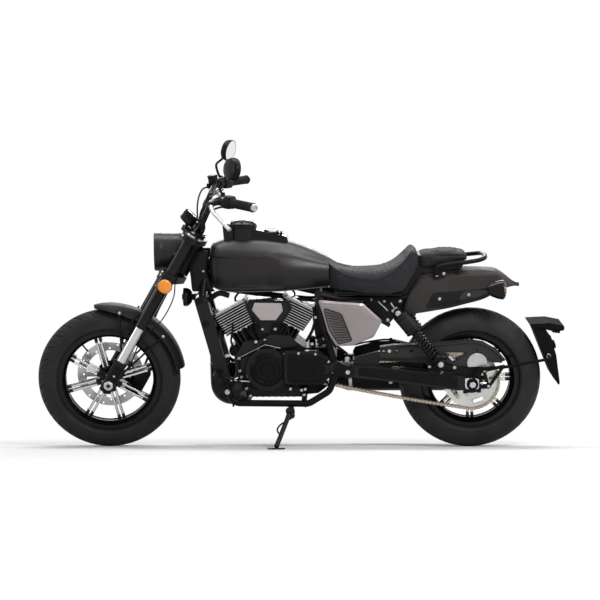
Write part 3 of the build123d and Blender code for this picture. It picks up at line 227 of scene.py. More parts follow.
class Piece:
    """Collects faces, each with the number of its material, then becomes one object riding on a body."""

    def __init__(self):
        self.verts, self.faces, self.mats = [], [], []

    def add(self, verts, faces, mat=0):
        base = len(self.verts)
        self.verts += [tuple(v) for v in verts]
        self.faces += [tuple(base + i for i in f) for f in faces]
        self.mats += [mat] * len(faces)
        return self

    def rings(self, rings, mat=0, closed=False, caps=True):
        """Skins a list of rings, each with the same number of points."""
        n, m = len(rings[0]), len(rings)
        faces = []
        for k in range(m if closed else m - 1):
            a, b = k * n, (k + 1) % m * n
            faces += [(a + i, a + (i + 1) % n, b + (i + 1) % n, b + i) for i in range(n)]
        if caps and not closed:
            faces += [tuple(reversed(range(n))), tuple((m - 1) * n + i for i in range(n))]
        return self.add([p for ring in rings for p in ring], faces, mat)

    def tube(self, points, r, mat=0, steps=12, closed=False):
        """A round bar along the points. r is one radius, or one for each point."""
        p = [Vector(q) for q in points]
        radii = r if hasattr(r, "__len__") else [r] * len(p)
        side, rings = None, []
        for k, q in enumerate(p):
            ahead = p[(k + 1) % len(p)] if closed or k + 1 < len(p) else q
            behind = p[k - 1] if closed or k else q
            along = (ahead - behind).normalized()
            side = (along.orthogonal() if side is None else side - along * side.dot(along)).normalized()
            up = along.cross(side)
            rings.append([q + (side * math.cos(a) + up * math.sin(a)) * radii[k] for a in angles(steps)])
        return self.rings(rings, mat, closed)

    def hose(self, points, each, r, mat=0, steps=12):
        """A round bar on the smooth curve through the points, with so many steps from each to the next."""
        return self.tube(smooth(points, each), r, mat, steps)

    def rod(self, a, b, r, mat=0, steps=28):
        return self.tube([a, b], r, mat, steps)

    def lathe(self, at, axis, profile, mat=0, steps=48, closed=False):
        """Turns a profile of (radius, distance along the axis)."""
        at, axis = Vector(at), Vector(axis).normalized()
        u = axis.orthogonal().normalized()
        v = axis.cross(u)
        rings = []
        for r, h in profile:
            rim = max(r, 0.02)  # a radius of 0 would put the whole ring in one point
            rings.append([at + axis * h + (u * math.cos(a) + v * math.sin(a)) * rim for a in angles(steps)])
        return self.rings(rings, mat, closed)

    def band(self, at, axis, profile, mat=0, steps=48):
        """Turns a closed profile, which leaves a ring."""
        return self.lathe(at, axis, profile, mat, steps, closed=True)

    def side(self, outline, y0, y1, mat=0):
        """An outline in X and Z, made solid between two Y."""
        return self.rings([[(x, y, z) for x, z in outline] for y in (y0, y1)], mat)

    def layers(self, outline, steps, mat=0):
        """An outline in X and Z, made solid through steps of (factor about its middle, Y)."""
        return self.rings([[(x, y, z) for x, z in scaled(outline, f)] for f, y in steps], mat)

    def slope(self, outer, inner, y0, y1):
        """The faces between an outline in X and Z at y0 and a smaller one at y1."""
        for k in range(len(outer)):
            j = (k + 1) % len(outer)
            corners = [(p[0], y, p[1]) for p, y in ((outer[k], y0), (outer[j], y0), (inner[j], y1), (inner[k], y1))]
            self.add(corners, [(0, 1, 2, 3)])

    def plate(self, outline, frame, t0, t1, mat=0):
        """An outline in a frame's X and Y, made solid between two heights of its Z."""
        return self.rings([[frame @ Vector((x, y, t)) for x, y in outline] for t in (t0, t1)], mat)

    def box(self, centre, size, mat=0, spin=None):
        frame = shift(*centre) @ (spin or Matrix.Identity(4))
        x, y, z = (s / 2 for s in size)
        return self.plate(oblong(-x, -y, x, y), frame, -z, z, mat)

    def knob(self, at, axis, side, top, mat=0, steps=48):
        """A turned boss: side is its radius, start and end along the axis, top its face's radius and place."""
        (r, start, end), (face, height) = side, top
        return self.lathe(at, axis, [(r, start), (r, end), (face, height), (0, height)], mat, steps)

    def head(self, at, axis, r, profile, mat, steps):
        """A bolt's head with its washer, from a profile in parts of its radius."""
        axis = Vector(axis).normalized()
        self.knob(at, axis, (r * 1.35, -0.5, r * 0.2), (r * 1.2, r * 0.28), mat, 20)
        return self.lathe(at, axis, [(r * w, r * h) for w, h in profile], mat, steps)

    def bolt(self, at, axis, r, mat=0):
        """A hexagon head."""
        return self.head(at, axis, r, ((1, 0), (1, 0.75), (0.86, 0.95), (0, 0.95)), mat, 6)

    def screw(self, at, axis, r, mat=0):
        """A round head with a hollow in it."""
        return self.head(at, axis, r, ((1, 0), (1, 0.8), (0.88, 1), (0.55, 1), (0.5, 0.45), (0, 0.45)), mat, 18)

    def mirrored(self):
        """Adds the other side of the machine."""
        count, faces, mats = len(self.verts), list(self.faces), list(self.mats)
        self.verts += [(x, -y, z) for x, y, z in self.verts]
        self.faces += [tuple(count + i for i in reversed(f)) for f in faces]
        self.mats += mats
        return self

    def done(self, name, materials, slot, matrix=BIKE, body="chassis", bevel=0.0, angle=34, replaces=()):
        """Makes the object. bevel is in mm, and edges of more than angle, in degrees, are shaded sharp."""
        mesh = bpy.data.meshes.new(name)
        mesh.from_pydata([matrix @ Vector(v) for v in self.verts], [], self.faces)
        obj = placed(name, mesh)
        for m in materials if isinstance(materials, list) else [materials]:
            mesh.materials.append(m)
        mesh.polygons.foreach_set("material_index", self.mats)
        mesh.validate()
        bm = bmesh.new()
        bm.from_mesh(mesh)
        bmesh.ops.remove_doubles(bm, verts=bm.verts, dist=MERGE)
        bmesh.ops.recalc_face_normals(bm, faces=bm.faces)
        bm.to_mesh(mesh)
        bm.free()
        mesh.polygons.foreach_set("use_smooth", [True] * len(mesh.polygons))
        if bevel:
            soft = obj.modifiers.new("edges", "BEVEL")
            soft.width, soft.segments = bevel * MM, BEVEL_SEGMENTS
            soft.limit_method, soft.angle_limit = "ANGLE", math.radians(BEVEL_ANGLE)
            soft.harden_normals = True
        mesh.set_sharp_from_angle(angle=math.radians(angle))
        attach(obj, body)
        if replaces:
            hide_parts(*replaces)
        return obj


# ---------------------------------------------------------------- materials
class Nodes:
    """The emptied node tree of a material or a world."""

    def __init__(self, owner):
        owner.use_nodes = True
        self.tree = owner.node_tree
        self.tree.nodes.clear()

    def add(self, kind, inputs=()):
        return self.feed(self.tree.nodes.new("ShaderNode" + kind), inputs)

    def feed(self, node, inputs):
        """Gives each named or numbered input its value, or links another node's output to it."""
        for socket, value in dict(inputs).items():
            if isinstance(value, bpy.types.NodeSocket):
                self.tree.links.new(value, node.inputs[socket])
            else:
                node.inputs[socket].default_value = value
        return node


NOISE_LOW, NOISE_HIGH = 0.3, 0.7  # nearly all of a noise lies between them
FINER = 3.7  # how much finer the roughness varies than the colour
WORN_FROM, WORN_TO = 0.53, 0.60  # pointiness of an edge where wear starts, and where it is full
GRAIN_STRENGTH, RINGS_STRENGTH, RINGS_WOBBLE = 0.8, 0.6, 0.4


def material(name, colour, rough, metal=0.0, mottle=0.15, mottle_scale=9.0, grain=None, rough_vary=0.08, coat=0.0,
             coat_rough=0.06, wear=None, stretch=None, rings=None, spec=0.5, transmission=0.0, ior=1.45,
             anisotropic=0.0):
    """One procedural surface.

    mottle varies the colour, grain = (pattern, scale in 1/m, depth in mm) makes the relief, wear = (colour, amount)
    shows on edges, stretch scales the noise by axis for a brushed look, rings = (matrix, scale, depth in mm) turns
    circles about a hub's Y axis.
    """
    m = bpy.data.materials.new(name)
    graph = Nodes(m)
    plain = where = graph.add("TexCoord").outputs["Object"]
    if stretch:
        where = graph.add("Mapping", {"Scale": stretch, "Vector": where}).outputs[0]

    def noise(scale, detail=5.0):
        inputs = {"Scale": scale, "Detail": detail, "Roughness": 0.55, "Vector": where}
        return graph.add("TexNoise", inputs).outputs["Fac"]

    def relief(height, depth, strength, under):
        inputs = {"Strength": strength, "Distance": depth * MM, "Height": height}
        return graph.add("Bump", {**inputs, "Normal": under} if under else inputs).outputs[0]

    ramp = graph.add("ValToRGB", {0: noise(mottle_scale)})
    for element, at, factor in zip(ramp.color_ramp.elements, (NOISE_LOW, NOISE_HIGH), (1 - mottle, 1 + mottle)):
        element.position = at
        element.color = (*(min(1, c * factor) for c in colour), 1)
    tint = ramp.outputs[0]
    if wear:
        worn, amount = wear
        edges = graph.add("NewGeometry").outputs["Pointiness"]
        span = {"From Min": WORN_FROM, "From Max": WORN_TO, "To Min": 0.0, "To Max": amount}
        mix = graph.add("Mix")
        mix.data_type = "RGBA"
        pick = graph.add("MapRange", {**span, "Value": edges})
        graph.feed(mix, {"A": tint, "B": (*worn, 1), "Factor": pick.outputs[0]})
        tint = mix.outputs["Result"]
    low, high = max(0.02, rough - rough_vary), min(1, rough + rough_vary)
    span = {"From Min": NOISE_LOW, "From Max": NOISE_HIGH, "To Min": low, "To Max": high}
    blur = graph.add("MapRange", {**span, "Value": noise(mottle_scale * FINER, 7.0)})
    normal = None
    if grain:
        pattern, scale, depth = grain
        if pattern == "noise":
            height = noise(scale, 3.0)
        else:
            cells = graph.add("TexVoronoi", {"Scale": scale, "Vector": where})
            cells.feature = "F1" if pattern == "cells" else "DISTANCE_TO_EDGE"
            height = cells.outputs["Distance"]
        normal = relief(height, depth, GRAIN_STRENGTH, None)
    if rings:
        hub, scale, depth = rings
        place = graph.add("Mapping")
        place.vector_type = "TEXTURE"
        spin = hub.to_3x3().normalized().to_euler()
        graph.feed(place, {"Location": hub.to_translation(), "Rotation": spin, "Vector": plain})
        wave = graph.add("TexWave", {"Scale": scale, "Distortion": RINGS_WOBBLE, "Detail": 3.0,
            "Vector": place.outputs[0]})
        wave.wave_type, wave.rings_direction = "RINGS", "Y"
        normal = relief(wave.outputs["Fac"], depth, RINGS_STRENGTH, normal)
    shader = graph.add("BsdfPrincipled", {
        "Base Color": tint, "Roughness": blur.outputs[0], "Metallic": metal, "Specular IOR Level": spec,
        "Coat Weight": coat, "Coat Roughness": coat_rough, "Coat IOR": 1.3, "IOR": ior,
        "Transmission Weight": transmission, "Anisotropic": anisotropic,
    })
    if normal:
        graph.feed(shader, {"Normal": normal})
    graph.add("OutputMaterial", {0: shader.outputs[0]})
    return m


CHARCOAL = material("paint_charcoal", (0.0130, 0.0114, 0.0107), 0.36, mottle=0.10, grain=("noise", 1400, 0.012),
    rough_vary=0.05, spec=0.30, wear=((0.07, 0.065, 0.06), 0.2))
GLOSS = material("paint_gloss_black", (0.0045, 0.0045, 0.005), 0.14, mottle=0.2, grain=("noise", 320, 0.006),
    rough_vary=0.05, spec=0.1, coat=0.35, coat_rough=0.04, wear=((0.02, 0.02, 0.02), 0.3))
SATIN = material("paint_satin_black", (0.0050, 0.0048, 0.0046), 0.34, mottle=0.2, grain=("noise", 900, 0.02),
    spec=0.10, wear=((0.04, 0.04, 0.04), 0.3))
CAST = material("engine_black", (0.0048, 0.0046, 0.0044), 0.36, mottle=0.25, grain=("noise", 520, 0.06), spec=0.08,
    wear=((0.05, 0.05, 0.05), 0.3))
MACHINED = material("machined_aluminium", (0.62, 0.62, 0.63), 0.26, metal=1.0, mottle=0.08, stretch=(3, 1, 3),
    grain=("noise", 700, 0.01))
STEEL = material("plain_steel", (0.46, 0.46, 0.47), 0.30, metal=1.0, mottle=0.12, grain=("noise", 800, 0.015))
CHROME = material("chrome", (0.72, 0.72, 0.74), 0.09, metal=1.0, mottle=0.04, rough_vary=0.04,
    grain=("noise", 60, 0.006))
TUBE_STEEL = material("fork_tube_steel", (0.55, 0.56, 0.58), 0.16, metal=1.0, mottle=0.05, rough_vary=0.05,
    stretch=(1, 1, 6), grain=("noise", 300, 0.004))
# A rougher, less shiny copy of the charcoal paint for the tail cowl; its colour is lighter than the tank's, which is
# painted light.
CHARCOAL_PAINTED_LIGHT = material("paint_charcoal_painted_light", (0.0340, 0.0300, 0.0290), 0.50, mottle=0.10, grain=("noise", 1400, 0.012),
    rough_vary=0.05, spec=0.12)
# A rougher copy of the charcoal paint for the front mudguard and the cowls; its colour is a little darker than the
# tank's, which is painted shade.
DULL_CHARCOAL_SHADED = material("paint_dull_charcoal_painted_shade", (0.0110, 0.0100, 0.0096), 0.50, mottle=0.10, grain=("noise", 1400, 0.012),
    rough_vary=0.05, spec=0.10, wear=((0.05, 0.047, 0.045), 0.2))
RUBBER = material("tyre_rubber", (0.0205, 0.0198, 0.0205), 0.60, mottle=0.22, mottle_scale=14,
    grain=("noise", 1100, 0.06), rough_vary=0.08, spec=0.14)
SOFT = material("black_rubber", (0.008, 0.008, 0.008), 0.55, mottle=0.2, grain=("noise", 1500, 0.04), spec=0.12)
PLASTIC = material("moulded_plastic", (0.0060, 0.0060, 0.0062), 0.42, mottle=0.18, grain=("cells", 1500, 0.04),
    spec=0.12, wear=((0.03, 0.03, 0.03), 0.25))
GUARD = material("guard_plastic", (0.0200, 0.0190, 0.0178), 0.46, mottle=0.15, grain=("cells", 1300, 0.05), spec=0.16,
    wear=((0.05, 0.05, 0.05), 0.25))
LEVER = material("lever_aluminium", (0.34, 0.34, 0.35), 0.34, metal=0.9, mottle=0.10, grain=("noise", 700, 0.01))
BLADE = material("blade_plastic", (0.0060, 0.0060, 0.0060), 0.72, mottle=0.18, grain=("cells", 1300, 0.05), spec=0.04)
LEATHER = material("seat_vinyl", (0.0255, 0.0258, 0.0285), 0.60, mottle=0.12, mottle_scale=30,
    grain=("edge", 620, 0.03), rough_vary=0.04, spec=0.03)
PIPING = material("seat_seam", (0.008, 0.008, 0.008), 0.5, mottle=0.2, grain=("noise", 2200, 0.06), spec=0.3)
SILVER = material("cover_silver", (0.27, 0.235, 0.24), 0.34, metal=0.7, mottle=0.03)
MESH = material("vent_grey", (0.10, 0.088, 0.085), 0.45, metal=0.4, mottle=0.12,
    grain=("noise", 1500, 0.03), spec=0.4)
FRONT_TURNED = material("front_disc_steel", (0.50, 0.48, 0.46), 0.30, metal=1.0, mottle=0.1,
    rings=(FRONT_HUB, 240, 0.02), anisotropic=0.3)
REAR_TURNED = material("rear_disc_steel", (0.52, 0.52, 0.49), 0.30, metal=1.0, mottle=0.1,
    rings=(REAR_HUB, 240, 0.02), anisotropic=0.3)
CHAIN = material("oiled_chain", (0.30, 0.25, 0.19), 0.36, metal=1.0, mottle=0.3, mottle_scale=60,
    grain=("noise", 900, 0.03))
SPRING = material("spring_gloss", (0.006, 0.006, 0.0065), 0.22, mottle=0.2, grain=("noise", 500, 0.008),
    spec=0.12, coat=0.3)
GLASS = material("lens_clear", (0.92, 0.94, 0.96), 0.03, mottle=0.02, rough_vary=0.02, transmission=1.0, ior=1.49)
AMBER = material("lens_amber", (0.86, 0.27, 0.012), 0.18, mottle=0.08, grain=("cells", 260, 0.2), coat=0.5)
RED = material("lens_red", (0.25, 0.006, 0.004), 0.15, mottle=0.1, grain=("cells", 240, 0.15), coat=0.5)
COVER_FACE = material("intake_face_grey", (0.36, 0.33, 0.33), 0.34, metal=0.55, mottle=0.05,
    grain=("noise", 1800, 0.006), coat=0.3, coat_rough=0.2)
CASE_BLACK = material("case_black", (0.0045, 0.0043, 0.0042), 0.30, mottle=0.2,
    grain=("noise", 700, 0.025), spec=0.09)
PIPE = material("pipe_black", (0.016, 0.014, 0.012), 0.36, metal=0.2, mottle=0.3,
    grain=("noise", 900, 0.02), spec=0.12)
SHIELD = material("shield_brown", (0.060, 0.048, 0.038), 0.30, metal=0.6, mottle=0.3, grain=("noise", 900, 0.02))
MIRROR = material("mirror_glass", (0.80, 0.82, 0.84), 0.03, metal=1.0, mottle=0.02, rough_vary=0.01)
HORN = material("horn_zinc", (0.08, 0.08, 0.08), 0.3, metal=0.8, mottle=0.2, grain=("noise", 700, 0.03))
DIAL = material("dial_face", (0.008, 0.009, 0.011), 0.25, mottle=0.3, grain=("noise", 900, 0.005), spec=0.2, coat=0.3)
CORE = material("radiator_core", (0.015, 0.015, 0.015), 0.5, metal=0.6, mottle=0.3, stretch=(1, 1, 60),
    grain=("noise", 60, 0.4))

NODE_LOOKS = {
    RUBBER: "front_tyre rear_tyre",
    GLOSS: "front_rim rear_rim handlebar intake_cover tank_console engine_covers horn rear_turn_signals fork_tubes "
    "instrument mirrors",
    FRONT_TURNED: "front_disc",
    REAR_TURNED: "rear_disc rear_sprocket",
    STEEL: "front_axle rear_axle",
    TUBE_STEEL: "fork_stanchions",
    SATIN: "fork_sliders front_spars triple_clamps front_brake frame_spine frame_cradle side_stand subframe swingarm "
    "grab_rail foot_controls rear_caliper exhaust radiator shock_bodies",
    CHARCOAL: "front_mudguard headlight radiator_cowls fuel_tank rear_fender",
    SOFT: "grips",
    PLASTIC: "hand_controls plate_holder",
    GUARD: "chain_guard",
    CAST: "crankcase front_cylinder rear_cylinder",
    CHAIN: "drive_chain",
    SPRING: "shock_springs",
    LEATHER: "rider_seat pillion_seat",
    SILVER: "side_covers",
    RED: "tail_light",
    AMBER: "front_turn_signals",
    CHROME: "fuel_cap",
}
for look, names in NODE_LOOKS.items():
    for node_name in names.split():
        mesh = nodes[node_name].data
        mesh.materials.clear()
        mesh.materials.append(look)

# ---------------------------------------------------------------- floor, light, camera
CAM_AT = (-0.1363, 6.8265, 0.350)  # straight out from the left side
PHOTO = 600.0  # the photo's sides in pixels
FOCAL_PX, AXIS_PX, HORIZON_PX = 1639.3, 332.0, 364.0
SENSOR = 36.0
camera = placed("camera", bpy.data.cameras.new("camera"))
camera.location = CAM_AT
camera.rotation_euler = (math.pi / 2, 0, math.pi)
camera.data.sensor_width = SENSOR
camera.data.lens = FOCAL_PX / PHOTO * SENSOR
camera.data.shift_x = (PHOTO / 2 - AXIS_PX) / PHOTO
camera.data.shift_y = (HORIZON_PX - PHOTO / 2) / PHOTO
camera.data.clip_end = 200
bpy.context.scene.camera = camera


def seen(graph, white, lit):
    """Mixes a plain white, for what the camera and reflections see, with the lit surface."""
    rays = graph.add("LightPath").outputs
    direct = rays["Is Camera Ray"]
    for kind in ("Is Glossy Ray", "Is Transmission Ray"):
        either = graph.add("Math", {0: direct, 1: rays[kind]})
        either.operation = "MAXIMUM"
        direct = either.outputs[0]
    return graph.add("MixShader", {0: direct, 1: lit, 2: white}).outputs[0]


world = bpy.data.worlds.new("studio")
bpy.context.scene.world = world
sky = Nodes(world)
dim = sky.add("Background", {"Color": (0.94, 0.96, 1.0, 1), "Strength": 0.30})
white = sky.add("Background", {"Color": (1, 1, 1, 1), "Strength": 1.0})
sky.add("OutputWorld", {0: seen(sky, white.outputs[0], dim.outputs[0])})

FLOOR_HALF = 90  # metres
FLECK_SCALE, FLECK_LOW, FLECK_HIGH = 40, 0.66, 0.70
FADE_SCALE, FADE_FROM, FADE_TO = (0.42, 0.9, 1.0), 0.55, 1.0  # white from about 2.4 m along and 1.1 m across
FLOOR_LIFT = 0.02
floor_mesh = bpy.data.meshes.new("floor")
corners = [(x, y, 0) for x, y in oblong(-FLOOR_HALF, -FLOOR_HALF, FLOOR_HALF, FLOOR_HALF)]
floor_mesh.from_pydata(corners, [], [(0, 1, 2, 3)])
floor = placed("floor", floor_mesh)
paper = bpy.data.materials.new("floor_white")
ground = Nodes(paper)
fleck = ground.add("TexNoise", {"Scale": FLECK_SCALE}).outputs["Fac"]
shade = ground.add("MapRange", {"To Min": FLECK_LOW, "To Max": FLECK_HIGH, "Value": fleck})
grey = ground.add("CombineColor", {k: shade.outputs[0] for k in range(3)})
matt = ground.add("BsdfDiffuse", {"Color": grey.outputs[0]})
# the paper fades to plain white away from the machine, and is lifted a little wherever it is seen directly
flat = ground.add("Mapping", {"Scale": FADE_SCALE, "Vector": ground.add("TexCoord").outputs["Object"]})
far = ground.add("VectorMath", {0: flat.outputs[0]})
far.operation = "LENGTH"
fade = ground.add("MapRange", {"From Min": FADE_FROM, "From Max": FADE_TO, "Value": far.outputs["Value"]})
fade.interpolation_type = "SMOOTHSTEP"
glow, lift = (ground.add("Emission", {"Strength": strength}) for strength in (1.0, FLOOR_LIFT))
lifted = ground.add("AddShader", {0: matt.outputs[0], 1: lift.outputs[0]})
faded = ground.add("MixShader", {0: fade.outputs[0], 1: lifted.outputs[0], 2: glow.outputs[0]})
ground.add("OutputMaterial", {0: seen(ground, faded.outputs[0], matt.outputs[0])})
floor_mesh.materials.append(paper)

LAMPS = [  # name, place, aim, size across and along, power
    ("key", (-1.7, 2.9, 3.0), (-0.1, 0.0, 0.6), 1.6, 1.2, 120),
    ("over", (0.0, -0.2, 4.0), (0.0, 0.0, 0.5), 4.5, 1.2, 130),
    ("front", (4.0, 0.4, 2.0), (0.4, 0.0, 0.6), 0.9, 1.6, 24),
    ("back", (-4.0, 0.6, 2.2), (-0.4, 0.0, 0.6), 1.2, 1.6, 38),
    ("far", (0.0, -3.6, 2.6), (0.0, 0.0, 0.6), 3.0, 1.2, 60),
]
for lamp_name, place, aim, across, along, power in LAMPS:
    light = bpy.data.lights.new(lamp_name, "AREA")
    light.shape, light.size, light.size_y, light.energy = "RECTANGLE", across, along, power
    lamp = placed(lamp_name, light)
    lamp.location = place
    lamp.rotation_euler = (Vector(aim) - Vector(place)).to_track_quat("-Z", "Y").to_euler()

bpy.context.scene.view_settings.view_transform = "Standard"

# ---------------------------------------------------------------- wheels
WHEELS = {  # the sizes that the frame's tyres and rims have
    "front": {
        "half": 38.0, "bead": 203.0, "flange": 215.0, "well": 192.0, "turn": 30.5, "hub": FRONT_HUB,
    },
    "rear": {
        "half": 48.0, "bead": 190.0, "flange": 203.0, "well": 178.0, "turn": -1.0, "hub": REAR_HUB,
    },
}
HUB_R, BLADE_SPREAD, SPOKE_PAIRS = 34.0, 19.0, 8
ROOT_Y, TIP_Y = 19.3, 11.9  # of the spokes' machined faces, at the hub and at the rim
TREAD_REPEATS, STEPS_EACH = 30, 20  # of the pattern round the tyre, and rings in each
TREAD_STEP = 2.6  # mm between points across the tread
OFF_TREAD = 999.0  # takes the place of the distance across where there is no tread
RIM_LINE = 1.2  # how far the thin rib by the rim stands out
GROOVE_DEPTH, GROOVE_WALL, GROOVE_END = 4.2, 1.8, 3.0  # and how wide its sides and ends slope
GROOVES = (  # where it starts and ends across, its lead in parts of the pitch, width, sweep and side
    (5, 60, 0.0, 5.0, 0.85, LEFT),
    (22, 54, 0.5, 3.6, 0.75, LEFT),
    (5, 60, 0.5, 5.0, 0.85, RIGHT),
    (22, 54, 0.0, 3.6, 0.75, RIGHT),
)


def groove(across, around, pitch):
    """How deep the tread is cut, 0 to 1, at a distance from the crown's middle and a place in one repeat, in mm."""
    out = np.abs(across)
    depth = np.zeros_like(across)
    for start, end, lead, width, sweep, side in GROOVES:
        t = np.clip((out - start) / (end - start), 0, 1)
        middle = (lead + 0.12 + sweep * (t - 0.25 * t * t)) * pitch
        gap = np.abs((around - middle + pitch / 2) % pitch - pitch / 2)
        half_width = width / 2 * (1 - 0.35 * t)
        cut = np.clip((half_width + GROOVE_WALL / 2 - gap) / GROOVE_WALL, 0, 1)
        for inside in (out - start, end - out):
            cut = cut * np.clip((inside + GROOVE_END / 2) / GROOVE_END, 0, 1)
        depth = np.maximum(depth, np.where(np.sign(across) == side, cut, 0))
    return depth


def tyre(key):
    w = WHEELS[key]
    crown, half, bead = CROWN[key], w["half"], w["bead"]
    ring, neck = TYRE_R - crown, w["flange"] + 1
    wall = []  # from the rim's flange out to the tread
    for t in (0, 0.1, 0.22, 0.24, 0.36, 0.5, 0.64, 0.78, 0.9):
        rib = RIM_LINE if 0.1 <= t <= 0.22 else 0.0
        wall.append((bend(neck, (neck + ring) / 2 - 8, ring, t), bend(half, crown + 5, crown, t) + rib))
    # radius, Y, outward direction, distance from the crown's middle
    profile = [(r, y, 0.0, 1.0, OFF_TREAD) for r, y in wall]
    count = int(crown * math.pi / TREAD_STEP)
    for k in range(count + 1):
        a = math.pi / 2 - math.pi * k / count
        profile.append((ring + crown * math.cos(a), crown * math.sin(a), math.cos(a), math.sin(a), crown * a))
    profile += [(r, -y, 0.0, -1.0, OFF_TREAD) for r, y in reversed(wall)]
    lining = [(ring + crown - 20, crown * 0.3), (ring - 20, crown - 22), (bead, half - 12), (bead, half)]
    profile += [(r, -y, 0.0, 0.0, OFF_TREAD) for r, y in reversed(lining)]
    profile += [(r, y, 0.0, 0.0, OFF_TREAD) for r, y in lining]
    p = np.array(profile)
    turns = TREAD_REPEATS * STEPS_EACH
    pitch = 2 * math.pi * TYRE_R / TREAD_REPEATS
    step = np.arange(turns)
    angle = (step * 2 * math.pi / turns)[:, None]
    across, place = np.meshgrid(p[:, 4], step % STEPS_EACH * pitch / STEPS_EACH)
    cut = groove(across, place, pitch) * GROOVE_DEPTH * (np.abs(across) < OFF_TREAD)
    radius = p[:, 0] - cut * p[:, 2]
    depth_y = p[:, 1] - cut * p[:, 3]
    co = np.stack([radius * np.cos(angle), depth_y, radius * np.sin(angle)], axis=2).reshape(-1, 3)
    n = len(p)
    a, b = step[:, None] * n, (step[:, None] + 1) % turns * n
    i = np.arange(n)[None, :]
    j = (i + 1) % n
    faces = np.stack([a + i, b + i, b + j, a + j], axis=2).reshape(-1, 4)
    piece = Piece()
    piece.add(co.tolist(), faces.tolist())
    piece.done(f"{key}_tyre_tread", RUBBER, "tyre", w["hub"], f"{key}_wheel", angle=40, replaces=[f"{key}_tyre"])


FACE_SECTION = ((-0.6, -3.7), (1.0, -3.7), (1.3, -3.2), (1.3, 3.2), (1.0, 3.7), (-0.6, 3.7))  # Y out, Z
FOOT_SECTION = ((-3, -6.2), (1.4, -5.4), (1.4, 5.4), (-3, 6.2))
WEB_SECTION = ((10, -10), (17, -10), (19, -8), (19, 8), (17, 10), (10, 10))
for key in WHEELS:
    tyre(key)
    w = WHEELS[key]
    bright, dark = Piece(), Piece()
    tip = w["well"] - 3
    for i in range(SPOKE_PAIRS):
        web = turn("Y", -w["turn"] - i * 360 / SPOKE_PAIRS)
        for offset in (-BLADE_SPREAD / 2, BLADE_SPREAD / 2):
            arm = web @ shift(0, 0, offset)
            for y in SIDES:
                for part, section, ends in (
                    (bright, FACE_SECTION, ((HUB_R + 22, ROOT_Y), (tip - 26, TIP_Y))),
                    (dark, FOOT_SECTION, ((tip - 24, TIP_Y), (tip + 2, 11.5))),
                ):
                    part.rings([[arm @ Vector((x, y * (face + t), z)) for t, z in section] for x, face in ends])
        for y in SIDES:
            dark.rings([[web @ Vector((x, y * d, z * s)) for d, z in WEB_SECTION]
                        for x, s in ((HUB_R - 6, 1.5), (HUB_R + 16, 1.25), (HUB_R + 24, 0.7))])
    flange, well, lip = w["flange"], w["well"], w["half"] + 5
    for y in SIDES:
        edge = [(-9, -4), (-8, 0.8), (-2, 1.2), (1.5, 0.4), (1.5, -3)]
        dark.band((0, 0, 0), (0, y, 0), [(flange + r, lip + h) for r, h in edge], 0, 128)
        seat = [(-7, 6), (-9, 10), (-9, 18), (-5, 22), (-3, 20), (-3, 6)]
        dark.band((0, 0, 0), (0, y, 0), [(well + r, h) for r, h in seat], 0, 96)
    valve = turn("Y", -w["turn"] - 22.5)
    dark.tube([valve @ Vector((well - x, 0, 0)) for x in (8, 20, 36)], [4.5, 3.4, 3.0], 1, 14)
    dark.tube([valve @ Vector((well - x, 0, 0)) for x in (34, 44)], 4.2, 1, 10)
    bright.done(f"{key}_spoke_faces", MACHINED, "steel", w["hub"], f"{key}_wheel", bevel=0.3)
    dark.done(f"{key}_rim_lips", [GLOSS, SOFT], "gloss_black", w["hub"], f"{key}_wheel")

# disc carriers, their buttons, and the hub faces
SEAT_R = 52.0
for key, disc_y, ring_r in (("front", -70.0, 104.0), ("rear", -88.0, 88.0)):
    w, hub = WHEELS[key], Piece()
    for a in range(0, 360, 72):
        at = ((SEAT_R - 7) * cos(a), disc_y - 2.5, (SEAT_R - 7) * sin(a))
        hub.screw(at, TO_RIGHT, 6.5, 1)
        for lean in (-7, 7):
            edge = ((ring_r + 2) * cos(a + lean), disc_y, (ring_r + 2) * sin(a + lean))
            hub.lathe(edge, TO_RIGHT, [(5.5, -3.5), (5.5, 3.6), (4.2, 4.2), (2.0, 4.2), (1.6, 3.0), (0, 3.0)], 1, 18)
    carrier = [(SEAT_R + 6, 2.5), (SEAT_R + 4, 5.0), (SEAT_R - 14, 6.0), (HUB_R - 6, 6.0), (HUB_R - 6, 2.5)]
    hub.band((0, disc_y, 0), TO_RIGHT, carrier, 0, 60)
    if key == "front":
        face = [(0, 40), (6, 46), (6, 54), (0, 60), (-8, 61), (-8, 40)]
        hub.band((0, 0, 0), TO_LEFT, [(HUB_R + r, h) for r, h in face], 0, 60)
        for x, z in circle(26, 5):
            hub.screw((x, 60, z), TO_LEFT, 4, 1)
    hub.done(f"{key}_hub_parts", [SATIN, STEEL], "satin_black", w["hub"], f"{key}_wheel", angle=30)

# rear sprocket: its bolts, the ring in the middle, and the rubber-sprung carrier's pads
sprocket_parts = Piece()
for x, z in circle(56, 5):
    sprocket_parts.bolt((x, 96.0, z), TO_LEFT, 6.5, 0)
sprocket_parts.band((0, 0, 0), TO_LEFT, [(44, 96), (46, 104), (40, 108), (24, 108), (24, 96)], 1, 60)
for x, z in circle(48, 5, 14):
    sprocket_parts.side(rounded(oblong(x - 9, z - 9, x + 9, z + 9), 4), 96, 99, 1)
sprocket_parts.done("rear_sprocket_parts", [STEEL, SATIN], "steel", REAR_HUB, "rear_wheel")

# ---------------------------------------------------------------- drive chain
PITCH, CHAIN_Y = 15.875, 92.0
REAR_TEETH, FRONT_TEETH = 45, 15
SHAFT = Vector((625.0, 0, 336.0))
WHEEL_AT = Vector((0.0, 0, TYRE_R))
LOOP_STEPS = 60  # points on each quarter of the loop


def pitch_radius(teeth):
    return PITCH / (2 * sin(180 / teeth))


